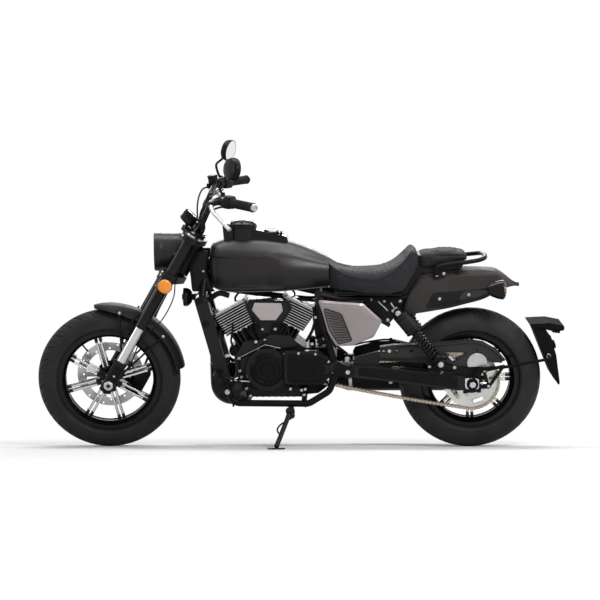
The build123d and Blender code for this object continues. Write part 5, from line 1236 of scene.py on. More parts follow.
# ---------------------------------------------------------------- tank
TANK = [  # X, bottom Z and half width, widest Z and half width, shoulder Z and half width, top Z
    (1091, 730, 34, 784, 58, 834, 40, 850),
    (1084, 712, 54, 780, 82, 848, 56, 866),
    (1066, 694, 78, 770, 110, 858, 74, 881),
    (1010, 682, 96, 768, 134, 868, 84, 899),
    (940, 681, 98, 770, 140, 870, 86, 903),
    (880, 682, 98, 772, 142, 869, 86, 901),
    (800, 684, 96, 772, 141, 862, 83, 891),
    (740, 688, 92, 772, 136, 852, 78, 878),
    (660, 694, 82, 768, 120, 828, 69, 848),
    (596, 698, 70, 760, 104, 806, 62, 818),
]


def between(table, x):
    """The table's row at x, on a smooth curve through its rows."""
    rows = sorted(table)
    x = min(max(x, rows[0][0]), rows[-1][0])
    k = max(i for i in range(len(rows) - 1) if rows[i][0] <= x)
    a, b = np.array(rows[k]), np.array(rows[k + 1])
    before = np.array(rows[k - 1]) if k else a * 2 - b
    after = np.array(rows[k + 2]) if k + 2 < len(rows) else b * 2 - a
    gap = b[0] - a[0]
    t = (x - a[0]) / gap
    m0 = (b - before) / max(1e-6, b[0] - before[0]) * gap
    m1 = (after - a) / max(1e-6, after[0] - a[0]) * gap
    return a * (2 * t**3 - 3 * t**2 + 1) + m0 * (t**3 - 2 * t**2 + t) + b * (3 * t**2 - 2 * t**3) + m1 * (t**3 - t**2)


def resample(points, count):
    """The same line with evenly spaced points."""
    p = np.array([tuple(q) for q in points], float)
    run = np.concatenate([[0], np.cumsum(np.linalg.norm(np.diff(p, axis=0), axis=1))])
    return np.stack([np.interp(np.linspace(0, run[-1], count), run, p[:, i]) for i in range(p.shape[1])], axis=1)


def spaced(outline, count):
    """A closed outline with evenly spaced points."""
    return resample(outline + [outline[0]], count)[:-1]


def clamp(v):
    return max(0.0, min(1.0, v))


def panel_depth(x, z):
    """How far the tank's side is set in: a flat front panel, a facet behind it, and the swell at the rear."""
    front = 842 + (z - 698) * 27 / 133
    rear = 780 + (z - 698) * 28 / 165
    facet = clamp((x - rear) / (front - rear))
    top = 831 + clamp((869 - x) / 61) * 32
    return facet * clamp((top - z) / 9) * clamp((1092 - x) / 26) * clamp((z - 694) / 14)


def tank_skin():
    rings = []
    for x in np.concatenate([np.linspace(596, 1060, 117), np.linspace(1064, 1091, 11)]):
        _, zb, wb, zc, w, zs, ws, zt = between(TANK, x)
        half = smooth([(wb * 0.9, zb), (wb + 2, zb + 5), ((wb + w) / 2 + 4, (zb + zc) / 2 - 2), (w, zc),
            ((w + ws) / 2 + 9, (zc + zs) / 2 + 10), (ws, zs), (ws * 0.55, zt - (zt - zs) * 0.22), (0, zt)], 8)
        side_line = []
        for y, z in resample(half, 86):
            depth = panel_depth(x, z) * clamp((y - 30) / 30)
            depth *= (max(-3, y - (w - 19)) if z > zc else 19) + max(0, x - 842) * 0.03
            side_line.append((y - depth, z))
        rings.append(both_sides(x, side_line))
    return rings


tank = Piece()
tank.rings(tank_skin())
tank.done("tank_shell", CHARCOAL, "matte_charcoal", replaces=["fuel_tank"], angle=60)
# the seam's lip along the tank's lower edge, in the light grey of the vents: a painted highlight for the light line
# along it
seam = Piece()
for y in SIDES:
    line = []
    for x in np.linspace(1078, 606, 60):
        _, zb, wb, *_ = between(TANK, x)
        line.append((x, y * (wb + 1.0), zb + 0.5))
    seam.tube(line, 2.2, 0, 8)
seam.done("tank_seam_painted_highlight", MESH, "satin_black")
tunnel = Piece()
tunnel.side([(1070, 712), (1060, 806), (1040, 800), (640, 722), (610, 716), (610, 706), (1050, 700)], -34, 34)
tunnel.done("tank_underside", SATIN, "satin_black", bevel=1)

# console: trim round the dome, ribs and latch of the cap
console = Piece()
DOME_X = 955.0
for r, z in ((61.5, 938), (61.8, 946)):
    console.band((DOME_X, 0, 0), UP, [(r - 3, z), (r, z + 1), (r, z + 3), (r - 3, z + 4)], 1, 72)
console.lathe((DOME_X, 0, 951), UP, [(58.5, 0), (57, 5), (48, 12), (30, 17.5), (10, 19.5), (0, 19.8)], 0, 72)
for a in range(30, 360, 60):
    console.screw((DOME_X + 51 * cos(a), 51 * sin(a), 961), (0.25 * cos(a), 0.25 * sin(a), 1), 3.2, 1)
for y0 in (36, -45):
    console.side(rounded([(1034, 951), (1012, 958), (780, 907), (772, 898), (1020, 940)], 3), y0, y0 + 9, 0)
console.lathe((835, 0, 930.5), UP, [(27, -1), (27, 1.5), (22, 3), (22, 2), (12, 2.4), (0, 2.4)], 2, 48)
console.box((835, 0, 934), (38, 9, 5), 2)
for x, y in ((1018, 30), (1018, -30), (792, 34), (792, -34)):
    console.screw((x, y, 886 + (x - 780) * 0.28), UP, 3.4, 1)
console.done("console_trim", [GLOSS, SATIN, CHROME], "gloss_black", bevel=0.5)
cap_ring = Piece()
cap_ring.lathe((835, 0, 921), UP,
    [(31.3, 1), (31.3, 8), (29.5, 9.6), (25, 9.8), (24, 9.2), (8, 9.2), (0, 9.2)], 0, 60)
for x, y in circle(27.5, 8, 0, (835, 0)):
    cap_ring.lathe((x, y, 930), UP, [(1.8, -1), (1.8, 1.2), (0, 1.2)], 1, 10)
cap_ring.box((835, 0, 931), (36, 8, 4), 0)
cap_ring.done("cap_ring", [CHROME, STEEL], "chrome", body="fuel_cap", bevel=0.4)

# ---------------------------------------------------------------- seats
RIDER = [  # X, half width, bottom Z, seam Z, top Z
    (228, 104, 786, 826, 846), (240, 120, 764, 838, 857), (256, 130, 738, 840, 856), (290, 142, 690, 800, 818),
    (330, 148, 682, 762, 790), (380, 150, 683, 738, 773), (430, 148, 684, 730, 769), (480, 142, 686, 733, 768),
    (530, 130, 688, 747, 773), (565, 116, 689, 768, 783), (592, 96, 694, 793, 800), (602, 82, 706, 800, 805),
]
PLEATS = range(489, 341, -21)
CROWN_STEPS = 22


def seat_rings(rows, x_steps, side_bulge, dish, pleats=(), panel=0.68):
    """Rings across a seat: upright sides up to a seam, then a crowned top with sewn channels."""
    rings = []
    for x in x_steps:
        _, w, zb, zm, zt = between(rows, x)
        half = []
        for t in np.linspace(0, 1, 12)[:-1]:
            half.append((w - 10 + 10 * math.sin(t * math.pi / 2) + side_bulge * math.sin(math.pi * t),
                zb + (zm - zb) * t))
        half.append((w - 1.0, zm - 2))
        half.append((w - 5.2, zm + 0.5))  # the seam's groove
        half.append((w - 3.0, zm + 4))
        for k in range(CROWN_STEPS + 1):
            a = k / CROWN_STEPS * math.pi / 2
            y = (w - 3) * math.cos(a) ** 0.86 if k < CROWN_STEPS else 0.0
            z = zm + 5 + (zt - zm - 5) * math.sin(a) ** 0.8 - dish * math.sin(a) ** 4
            stitched = max([0.0, *(math.exp(-(((x - p) / 3.2) ** 2)) for p in pleats)]) if y < w * panel else 0.0
            edge_line = math.exp(-(((y - w * panel) / 2.6) ** 2)) * 2.6
            half.append((y, z - 3.6 * stitched - edge_line))
        rings.append(both_sides(x, half))
    return rings


def puff(obj, cap, pressure=3.0, frames=12):
    """Lets cloth swell the cover a little between its seams, no point further than cap mm, and keeps the result."""
    scene = bpy.context.scene
    rest = np.zeros(len(obj.data.vertices) * 3)
    obj.data.vertices.foreach_get("co", rest)
    cloth = obj.modifiers.new("cloth", "CLOTH")
    settings = cloth.settings
    settings.quality, settings.use_pressure, settings.uniform_pressure_force = 4, True, pressure
    settings.effector_weights.gravity = 0
    settings.tension_stiffness = settings.compression_stiffness = 12
    settings.bending_stiffness = 2
    cloth.collision_settings.use_collision = False
    for f in range(1, frames + 1):
        scene.frame_set(f)
    moved = np.zeros_like(rest)
    evaluated = obj.evaluated_get(bpy.context.evaluated_depsgraph_get())
    evaluated.data.vertices.foreach_get("co", moved)
    obj.modifiers.remove(cloth)
    step = (moved - rest).reshape(-1, 3)
    length = np.linalg.norm(step, axis=1, keepdims=True)
    step *= np.minimum(1, cap * MM / np.maximum(length, 1e-9))
    obj.data.vertices.foreach_set("co", (rest.reshape(-1, 3) + step).ravel())
    obj.data.update()
    scene.frame_set(1)


rider = Piece()
rider.rings(seat_rings(RIDER, np.linspace(228, 600, 150), 3.5, 5, PLEATS))
rider_obj = rider.done("rider_seat_cover", LEATHER, "seat", replaces=["rider_seat"], angle=75)
puff(rider_obj, 3.0)
PILLION = [(24, 84, 812, 822, 834), (34, 93, 808, 826, 842), (60, 97, 804, 828, 847), (110, 98, 796, 827, 848),
    (160, 98, 788, 825, 847), (196, 95, 783, 824, 845), (214, 88, 780, 822, 838), (220, 80, 780, 818, 830)]
pillion = Piece()
pillion.rings(seat_rings(PILLION, np.linspace(24, 220, 84), 3.0, 3, range(60, 181, 24), 0.62))
pillion_obj = pillion.done("pillion_seat_cover", LEATHER, "seat", replaces=["pillion_seat"], angle=75)
puff(pillion_obj, 2.5)
seat_trim = Piece()
for y in SIDES:
    for rows, x0, x1 in ((RIDER, 240, 594), (PILLION, 30, 214)):
        line = []
        for x in np.linspace(x0, x1, 60):
            _, w, _, zm, _ = between(rows, x)
            line.append((x, y * (w - 3.4), zm + 0.8))
        seat_trim.tube(line, 1.9, 0, 8)
seat_trim.side(rounded([(576, 684), (292, 672), (300, 664), (570, 676)], 3), -108, 108, 1)
seat_trim.side(rounded([(214, 779), (204, 752), (90, 771), (50, 771), (30, 806)], 5), -72, 72, 1)
# closes the gap between the two seats and the fender
closing = rounded([(231, 832), (236, 796), (262, 742), (300, 692), (300, 640), (284, 626), (264, 680), (240, 722),
    (212, 750), (206, 786), (213, 828)], 4)
seat_trim.side(closing, -74, 74, 1)
seat_trim.done("seat_seams", [PIPING, PLASTIC], "plastic")

# ---------------------------------------------------------------- tail
TAIL = [  # X, half width, bottom Z, crease Z, top Z
    (-200, 10, 694, 698, 700), (-170, 34, 693, 706, 716), (-135, 60, 688, 728, 744), (-115, 74, 682, 745, 756),
    (-97, 80, 672, 752, 764), (-40, 90, 646, 752, 768), (30, 97, 628, 750, 769), (100, 101, 611, 746, 769),
    (160, 103, 601, 735, 760), (216, 104, 592, 716, 748), (250, 104, 588, 690, 706), (270, 103, 590, 655, 668),
    (284, 100, 596, 612, 620),
]


def tail_rings():
    rings, wall = [], 3.5
    for x in np.linspace(-200, 284, 120):
        _, w, zb, zc, zt = between(TAIL, x)
        half = [(w - 7, zb), (w - 1.5, zb + 2), (w, zb + 10), (w + 1.5, (zb * 0.6 + zc * 0.4)), (w - 1, zc - 8),
            (w - 5, zc), (w - 14, zc + (zt - zc) * 0.45)]
        half = resample(smooth(half + [(w * 0.6, zt - 2.5), (0, zt)], 6), 54)
        inner = [(max(0.0, y - wall), z - (wall if z > zc else 0)) for y, z in half]
        inner[0] = (half[0][0] - 1, half[0][1])
        rings.append(both_sides(x, half) + both_sides(x, inner)[::-1])
    return rings


tail = Piece()
tail.rings(tail_rings())
# the tail cowl takes the lighter copy of the charcoal paint; its extra lightness is painted light
tail.done("tail_cowl", CHARCOAL_PAINTED_LIGHT, "matte_charcoal", replaces=["rear_fender"], angle=55)
tail_parts = Piece()
inset = rounded([(196, 613), (112, 616), (-20, 646), (-92, 668), (-96, 690), (-60, 694), (166, 676)], 5)


def tail_y(x):
    return between(TAIL, x)[1]


for y in SIDES:
    line = resample(inset + [inset[0]], 60)
    tail_parts.rings([[(x, y * (tail_y(x) + out), z) for x, z in line] for out in (-2.0, 3.6)], 0)
    groove_line = [(x, y * (tail_y(x) + 4.4), z) for x, z in ((170, 628), (110, 632), (40, 646), (0, 655))]
    tail_parts.tube(smooth(groove_line, 6), 1.6, 1, 8)
    for x, z in ((138, 652), (17, 668)):
        tail_parts.screw((x, y * (tail_y(x) + 3.6), z), (0, y, 0), 5.0, 2)
# inner mudguard and the lamp's housing
tail_parts.rings([[(x, y, z) for y, z in oblong(-66, zb, 66, zt)]
    for x, zb, zt in ((-120, 696, 700), (-60, 652, 657), (80, 622, 628), (226, 596, 602), (274, 584, 600))], 3)
tail_parts.rings([[(x, y * s, z) for y, z in ((-50, 672), (50, 672), (56, 690), (44, 742), (-44, 742), (-56, 690))]
    for x, s in ((-104, 1.1), (-122, 1.0))], 0)
tail_parts.done("tail_panels", [GLOSS, SATIN, STEEL, PLASTIC], "gloss_black", bevel=0.6)
lamp = Piece()
lens = rounded([(-46, 676), (46, 676), (52, 694), (42, 738), (-42, 738), (-52, 694)], 6)
lamp.rings([[(x, y * s, 707 + (z - 707) * s) for y, z in lens]
    for x, s in ((-118, 1.0), (-131, 0.97), (-137, 0.86), (-139, 0.7))], 0)
for k in range(5):
    lamp.box((-139.2, -28 + 14 * k, 707), (2.4, 9, 38), 0)
lamp.done("tail_lens", RED, "lamp_red", replaces=["tail_light"], bevel=0.8)
signals = Piece()
for y in SIDES:
    at = (0, y * 152, 697)
    signals.lathe(at, BACK, [(0, 54), (12, 54.5), (19, 58), (28, 72), (37, 96), (40.5, 116), (40.5, 120), (37, 121),
        (37, 118)], 0, 48)
    signals.lathe(at, BACK, [(37.2, 117), (37.0, 121), (35, 126), (27, 130), (14, 132.4), (0, 133)], 1, 48)
    signals.lathe(at, BACK, [(9, 119), (9, 126), (0, 127)], 2, 20)
    signals.tube([(-84, y * 122, 706), (-84, y * 104, 710), (-86, y * 80, 712)], [9, 7.5, 8], 3, 16)
signals.done("rear_signal_lamps", [GLOSS, GLASS, AMBER, SOFT], "gloss_black",
    replaces=["rear_turn_signals"], angle=30)

# grab rail
rail = Piece()
loop = smooth([(152, -110, 752), (150, -114, 782), (110, -116, 795), (30, -114, 806), (-20, -104, 813),
    (-46, -78, 818), (-54, -30, 820), (-54, 30, 820), (-46, 78, 818), (-20, 104, 813), (30, 114, 806),
    (110, 116, 795), (150, 114, 782), (152, 110, 752)], 8)
rail.tube(loop, 9.2, 0, 16)
for y in SIDES:
    rail.side(pill((150, 752), (122, 758), 15, 12), y * 103, y * 110, 0)
    for x, z in ((150, 752), (122, 758)):
        rail.screw((x, y * 110, z), (0, y, 0), 5, 1)
    rail.tube([(60, y * 100, 764), (60, y * 108, 780), (58, y * 113, 800)], 7, 0, 12)
rail.done("grab_rail_loop", [SATIN, STEEL], "satin_black", replaces=["grab_rail"], bevel=0.5)

# ---------------------------------------------------------------- side covers and what shows under the seat
covers = Piece()
COVER_Y = 140.0
shell = rounded([(642, 656), (560, 647), (456, 640), (376, 568), (410, 500), (500, 464), (566, 462), (600, 520),
    (622, 600)], 9)
face_edge = rounded([(630, 646), (560, 640), (462, 632), (390, 566), (418, 506), (502, 474), (556, 472), (590, 524),
    (612, 600)], 8)
vent = rounded([(618, 622), (546, 598), (500, 486), (556, 472), (594, 530)], 5)
for y in SIDES:
    y0 = y * COVER_Y
    rings = []
    for outline, depth in ((shell, 0), (shell, 9), (face_edge, 15)):
        rings.append([(x, y0 + y * depth, z) for x, z in spaced(outline, 90)])
    covers.rings(rings, 0)
    vent_line = spaced(vent, 60)
    covers.side(vent_line, y0 + y * 13, y0 + y * 17.5, 2)
    covers.tube([(x, y0 + y * 17.5, z) for x, z in vent_line], 1.8, 1, 8, closed=True)
    for k in range(11):
        t = (k + 0.5) / 11
        a, b = Vector((612 - 50 * t, 612 - 132 * t)), Vector((540 - 40 * t, 592 - 104 * t))
        covers.tube([(a.x, y0 + y * 18.4, a.y), (b.x, y0 + y * 18.4, b.y)], 1.3, 1, 6)
    crease = [(628, 634), (560, 630), (468, 622), (402, 564)]
    covers.tube([(x, y0 + y * 14.6, z) for x, z in crease], 1.4, 0, 8)
covers.done("side_cover_shells", [SILVER, SATIN, MESH], "silver_cover", replaces=["side_covers"], bevel=0.6)

under = Piece()
for y in SIDES:
    under.side(rounded([(452, 660), (286, 650), (300, 600), (346, 545), (380, 560), (430, 610)], 6),
        y * 84, y * 92, 0)
    for x, z, r in ((300, 640, 5), (330, 600, 5), (352, 560, 6), (316, 612, 4), (366, 640, 4), (420, 648, 4)):
        under.screw((x, y * 92, z), (0, y, 0), r, 1)
    for a, b in (((392, 640), (352, 600)), ((340, 634), (318, 600))):
        under.tube([(a[0], y * 93, a[1]), (b[0], y * 93, b[1])], 3.2, 1, 10)
    under.tube([(464, y * 116, 634), (410, y * 112, 580), (344, y * 102, 540)], 8.5, 2, 14)
    under.hose([(560, y * 100, 676), (500, y * 104, 672), (430, y * 100, 668), (360, y * 92, 664)], 6, 5, 2, 12)
under.done("under_seat_plates", [SATIN, STEEL, SATIN], "satin_black", bevel=0.6)

# ---------------------------------------------------------------- shocks, swingarm, guards and holders at the rear
SHOCK_TOP, SHOCK_BOTTOM, SHOCK_Y = (312, 603), (134, 388), 152
CAN_TO, SPRING_TO = 98.0, 247.0  # down from the top
COIL_TURNS, COIL_STEPS = 9.0, 180
coils, shock_parts = Piece(), Piece()
for y in SIDES:
    top = Vector((SHOCK_TOP[0], y * SHOCK_Y, SHOCK_TOP[1]))
    low = Vector((SHOCK_BOTTOM[0], y * SHOCK_Y, SHOCK_BOTTOM[1]))
    down = (low - top).normalized()
    u = Vector(TO_LEFT)
    v = down.cross(u)
    line = []
    for k in range(COIL_STEPS + 1):
        t = k / COIL_STEPS
        a = 2 * math.pi * COIL_TURNS * t
        h = CAN_TO + 3 + (SPRING_TO - CAN_TO - 6) * (t + 0.012 * math.sin(2 * math.pi * t))
        line.append(top + down * h + (u * math.cos(a) + v * math.sin(a)) * 20.5)
    coils.tube(line, 4.3, 0, 10)
    # can with its rings, the preload collar, the lower seat and the rubber round the rod
    for h, r in ((12, 31.8), (26, 31.8), (84, 32.6)):
        shock_parts.band(top, down, [(30.6, h - 1), (r, h), (r, h + 4), (30.6, h + 5)], 0, 40)
    shock_parts.lathe(top, down, [(26, 6), (31, 10), (31.4, 12)], 0, 40)
    shock_parts.lathe(top, down, [(31, 96), (33, 98), (33, 103), (27, 106), (16, 106)], 0, 40)
    shock_parts.lathe(top, down, [(16.5, 104), (16.5, 150), (13, 154), (12, 154)], 1, 32)
    shock_parts.lathe(top, down, [(17, SPRING_TO - 6), (27, SPRING_TO - 2), (27, SPRING_TO + 6), (19, SPRING_TO + 14),
        (15, SPRING_TO + 22), (11.4, SPRING_TO + 22)], 0, 36)
    for at, out in ((top, 24.5), (low, 22.5)):
        shock_parts.lathe(at, (0, y, 0), [(17, 11), (17.5, 12.5), (17.5, 15), (12, 16), (8, 16)], 1, 32)
        shock_parts.bolt(at + Vector((0, y * out, 0)), (0, y, 0), 8.5, 2)
coils.done("shock_coil_springs", SPRING, "gloss_black", replaces=["shock_springs"], angle=60)
shock_parts.done("shock_collars_bolts", [SATIN, SOFT, STEEL], "satin_black", bevel=0.5)

# swingarm: folded edges, gusset under the guard, pivot caps, adjuster blocks and their screws
arm = Piece()
for y in SIDES:
    rim = rounded([(474, 370), (384, 364), (96, 330), (62, 324), (62, 279), (300, 312), (474, 334)], 6)
    face = rounded([(462, 362), (384, 357), (98, 323), (74, 319), (74, 287), (300, 319), (462, 341)], 6)
    arm.slope(rim, face, y * 134, y * 135.8)
    arm.side(face, y * 133, y * 135.8, 0)
    gusset = rounded([(196, 398), (150, 356), (60, 330), (24, 322), (-34, 322), (-44, 352), (-50, 388), (-20, 394),
        (20, 386), (60, 384), (104, 402), (160, 414)], 7)
    arm.side(gusset, y * 110, y * 116.5, 0)
    for x, z, r in ((73, 365, 5.5), (177, 368, 5.0)):
        arm.knob((x, y * 116, z), (0, y, 0), (r * 1.9, 0, 2.5), (r * 1.5, 3.5), 0, 24)
        arm.screw((x, y * 119.4, z), (0, y, 0), r, 1)
    for a, b in (((150, 345), (176, 349)), ((86, 337), (112, 341))):
        pad = pill(a, b, 8, 8)
        arm.slope(pill(a, b, 11, 11), pad, y * 135.9, y * 137.2)
        arm.side(pad, y * 134, y * 137.2, 0)
    arm.knob((518, 0, 351), (0, y, 0), (27, 106, 138), (24, 141), 0, 40)
    arm.bolt((518, y * 141, 351), (0, y, 0), 11, 1)
    # the adjuster: a bare block with the axle nut in it and its screw behind
    arm.side(rounded(oblong(-20, 287, 30, 323), 5), y * 138, y * 142.4, 2)
    arm.lathe((0, y * 142, 299), (0, y, 0), [(17, 0), (17, 3), (15.5, 4), (9, 4)], 0, 36)
    arm.lathe((0, y * 145.5, 299), (0, y, 0), [(14, 0), (14, 8), (12.6, 10), (9, 10), (9, 2)], 1, 6)
    arm.rod((-60, y * 128, 300), (-26, y * 128, 300), 4.2, 1, 12)
    arm.lathe((-40, y * 128, 300), AHEAD, [(8, -5), (8, 2), (0, 2)], 1, 6)
    arm.side(rounded(oblong(-26, 282, -34, 318), 2), y * 108, y * 136, 0)
# chain rub strip and the rear brake's hose
arm.hose([(512, 92, 388), (470, 92, 386), (400, 92, 380), (330, 92, 372)], 6, 7, 3, 12)
arm.hose([(-48, -112, 400), (0, -122, 412), (90, -124, 404), (200, -122, 410), (330, -122, 438), (430, -116, 430),
    (500, -104, 420), (560, -100, 440)], 10, 4.0, 3, 12)
for x, z in ((90, 404), (330, 438)):
    arm.box((x, -123, z), (12, 6, 16), 0)
arm.done("swingarm_details", [SATIN, STEEL, MACHINED, SOFT], "satin_black", bevel=0.6, angle=28)

# chain guard: a raised lip, the frame of its window, washers in its holes, and the round bright boss
guard = Piece()
lip = [(380, 441), (330, 452), (177, 458), (12, 472), (-40, 464), (-94, 433), (-128, 397)]
guard.hose([(x, 124.4, z) for x, z in lip], 8, 3.4, 0, 10)
low_lip = [(-124, 390), (-92, 389), (-60, 397), (10, 374), (60, 374), (108, 393), (180, 406), (380, 410)]
guard.tube([(x, 124.2, z) for x, z in low_lip], 2.6, 0, 10)
window = [(123, 432), (24, 432), (80, 386)]
for k in range(3):
    a, b = window[k], window[(k + 1) % 3]
    guard.tube([(a[0], 124.4, a[1]), (b[0], 124.4, b[1])], 2.4, 0, 10)
# a pale bar and a strut are seen in the window
guard.side([(120, 429), (34, 429), (52, 414), (84, 420)], 116.8, 118.4, 3)
guard.side([(74, 396), (86, 392), (100, 410), (92, 414)], 116.8, 118.4, 1)
for x in (368, 314, 252):
    guard.band((x, 123.4, 434), TO_LEFT, [(6.2, 0), (9.4, 0.4), (9.4, 1.5), (6.2, 1.5)], 0, 28)
guard.lathe((345, 124, 436), TO_LEFT, [(7, 0), (7, 2.5), (0, 3)], 2, 20)
for x, z in ((196, 430), (-20, 440)):
    guard.screw((x, 124, z), TO_LEFT, 4.4, 0)
boss = [(-20 + 41 * cos(a), 386 + 41 * sin(a)) for a in range(-24, 205, 6)]
guard.side(boss, 122, 127.0, 2)
guard.side(shrunk(boss, (-20, 386), 0.9, 0.9), 127, 128.4, 2)
guard.done("chain_guard_details", [GUARD, MACHINED, STEEL, CHAIN], "plastic", bevel=0.5, angle=28)
# three-cornered bracket behind the axle, over the sprocket
bracket = Piece()
corners = [(-50, 350), (-131, 370), (-70, 280)]
for k in range(3):
    a, b = corners[k], corners[(k + 1) % 3]
    bracket.side(pill(a, b, 6.5, 6.5), 112, 118, 0)
bracket.side(pill((-24, 352), (-56, 350), 12, 8), 108, 118, 0)
bracket.side(pill((-24, 286), (-70, 282), 12, 8), 108, 118, 0)
for x, z in ((-52, 350), (-126, 368), (-70, 284)):
    bracket.screw((x, 118, z), TO_LEFT, 4.6, 1)
bracket.done("rear_bracket", [SATIN, STEEL], "satin_black", bevel=0.8)

# plate holder: a bent arm from the axle, the blade, its wing, lamp, reflector and ribs
holder = Piece()
route = smooth([(0, 151, 302), (-8, 152, 336), (-26, 152, 360), (-72, 152, 368), (-150, 152, 376), (-232, 151, 392),
    (-292, 148, 402), (-318, 134, 406), (-322, 100, 407), (-322, 70, 407)], 8)
holder.tube(route, [9.5 - 3.4 * min(1, k / (len(route) * 0.5)) for k in range(len(route))], 0, 14)
holder.knob((0, 148, 299), TO_LEFT, (24, -2, 3), (21, 5), 0, 36)
holder.knob((0, 152, 299), TO_LEFT, (14, 0, 9), (12, 11), 1, 6)
blade = rounded([(-250, 534), (-304, 404), (-340, 318), (-367, 282), (-372, 290), (-354, 410), (-330, 486),
    (-300, 530)], 5)
holder.side(blade, -84, 84, 0)
edge = rounded([(-254, 526), (-306, 404), (-342, 318), (-366, 286), (-352, 410), (-328, 484), (-300, 522)], 5)
for y in SIDES:
    holder.side(shrunk(edge, (-310, 410), 0.86, 0.92), y * 84, y * 86.5, 0)
wing = rounded([(-236, 542), (-248, 530), (-300, 520), (-340, 511), (-381, 514), (-385, 522), (-384, 534),
    (-322, 546)], 5)
holder.side(wing, -84, 84, 0)
holder.side(shrunk(wing, (-312, 530), 0.9, 0.6), -87, 87, 0)
for k in range(5):
    holder.box((-350 + k * 2.5, 0, 322 + 16 * k), (7, 120, 5), 0, turn("Y", -9))
# lamp over the plate, side reflectors and the empty plate's screws
holder.side(rounded([(-338, 500), (-372, 494), (-374, 506), (-346, 512)], 4), -42, 42, 0)
holder.side(rounded([(-342, 499), (-368, 493), (-366, 489), (-344, 494)], 2), -34, 34, 2)
for y in SIDES:
    holder.lathe((-352, y * 75, 350), (-0.99, 0, 0.148),
        [(6.5, 4), (6.5, 9), (5.4, 11), (2.6, 11), (2.6, 8), (0, 8)], 1, 20)
    holder.lathe((-344, y * 58, 452), (-0.95, 0, 0.3), [(17, -6), (18.5, -3), (18.5, 4), (15.5, 6)], 0, 28)
    holder.lathe((-344, y * 58, 452), (-0.95, 0, 0.3), [(15.2, 3), (15.2, 7), (10, 8.4), (0, 9)], 3, 28)
    holder.bolt((-322, y * 87, 407), (0, y, 0), 6.5, 1)
holder.done("plate_holder_parts", [BLADE, STEEL, GLASS, RED], "plastic", replaces=["plate_holder"],
    bevel=1.2, angle=28)

# rider's pegs with ribbed rubbers, springs and the two foot levers with their rods
feet = Piece()
for y in SIDES:
    profile = [(13.4, 190), (17, 192)]
    for k in range(8):
        profile += [(17.6, 194 + 12 * k), (17.6, 201 + 12 * k), (15.4, 202.5 + 12 * k), (15.4, 204.5 + 12 * k)]
    profile += [(17, 291), (13.4, 293)]
    feet.lathe((972, 0, 300), (0, y, 0), profile, 1, 32)
    feet.lathe((972, 0, 300), (0, y, 0), [(13.5, 292), (14, 296), (14, 301), (11, 303), (0, 303)], 0, 32)
    feet.lathe((972, 0, 300), (0, y, 0), [(13, 150), (19, 153), (19, 166), (15, 170), (13, 182)], 0, 32)
    feet.bolt((1018, y * 149, 268), (0, y, 0), 8, 2)
    toe = [(8, 184), (11, 186), (11, 193), (9.6, 194), (9.6, 197), (11, 198), (11, 205), (9.6, 206), (9.6, 209)]
    feet.lathe((1064, 0, 346), (0, y, 0), toe + [(11, 210), (11, 224), (8, 228), (0, 228)], 1, 28)
    feet.lathe((1064, 0, 346), (0, y, 0), [(11, 157), (11, 172), (8, 174)], 0, 24)
    rod_from, rod_to = Vector((1010, y * 172, 322)), Vector((916, y * 118, 306))
    feet.rod(rod_from, rod_to, 3.4, 2, 12)
    for p in (rod_from, rod_to):
        feet.lathe(p, (0, y, 0), [(0, -7), (6, -4.6), (7.2, 0), (6, 4.6), (0, 7)], 0, 20)
    feet.rod(rod_from, (1010, y * 162, 322), 4.5, 0, 14)
    feet.side(pill((905, 294), (916, 306), 10, 8), y * 106, y * 114, 0)
feet.done("foot_pegs_levers", [SATIN, SOFT, STEEL], "rubber", bevel=0.5)

# rear brake: housing, pins, bleed screw and pads' plates
brake = Piece()
hub = shift(-72, 0, 380) @ turn("Y", -48)
for x0 in (-24, 6):
    brake.plate(rounded(oblong(x0 - 14, -20, x0 + 18, 20), 6), hub @ turn("X", 90), 106, 111, 0)
for x0 in (-20, 14):
    brake.knob(hub @ Vector((x0, 0, 0)), TO_RIGHT, (15, 107, 115), (12.5, 117), 0, 32)
for x0, z0 in ((-40, 22), (40, 22), (-40, -22), (40, -22)):
    p = hub @ Vector((x0, 0, z0))
    brake.screw((p.x, -108, p.z), TO_RIGHT, 4.6, 1)
p = hub @ Vector((38, 0, 12))
brake.tube([(p.x, -100, p.z), (p.x - 6, -100, p.z + 20)], [4.5, 3.2], 1, 14)
brake.done("rear_brake_parts", [SATIN, STEEL], "satin_black", bevel=0.8)

# side stand: pivot bolt, wire tang and rib down the leg
stand = Piece()
pivot, foot = Vector((757, 152, 186)), Vector((812, 282, 0))
reach = (foot - pivot).normalized()
tang = ((46, 8, 0), (60, 26, 6), (78, 34, 8), (96, 26, 6), (110, 8, 0))
stand.hose([pivot + reach * d + Vector((x, y, 0)) for d, x, y in tang], 8, 3.6, 0, 12)
stand.tube([pivot + reach * 24, pivot + reach * 34], [14.5, 11.5], 0, 24)
stand.done("side_stand_tang", [SATIN, STEEL], "satin_black", body="side_stand")

# ---------------------------------------------------------------- radiator, cowls, horn and frame details
RADIATOR = shift(1090, 0, 520) @ turn("Y", 15.2)
DOWNWARD = RADIATOR @ turn("Y", 90)  # X down the core, Z ahead of it
core = Piece()
core.plate(oblong(-99, -78, 99, 78), DOWNWARD, 14.5, 15.4, 1)
for k in range(33):
    z = -96 + 6 * k
    core.plate(oblong(-z - 0.8, -78, -z + 0.8, 78), DOWNWARD, 15.2, 17.4, 1)
for y in (-52, -26, 0, 26, 52):
    core.plate(oblong(-99, y - 1.4, 99, y + 1.4), DOWNWARD, 17.2, 20, 0)
for y in SIDES:
    core.plate(rounded(oblong(-106, y * 76 - 9, 106, y * 76 + 9), 5), DOWNWARD, -16, 20, 0)
for z in (-112, 112):
    core.plate(rounded(oblong(-z - 12, -84, -z + 12, 84), 6), DOWNWARD, -18, 21, 0)
core.lathe(RADIATOR @ Vector((0, -56, 118)), RADIATOR.to_3x3() @ Vector((0.1, 0, 1)),
    [(13, 0), (13, 12), (18, 13), (18, 20), (15, 22), (0, 22)], 2, 32)
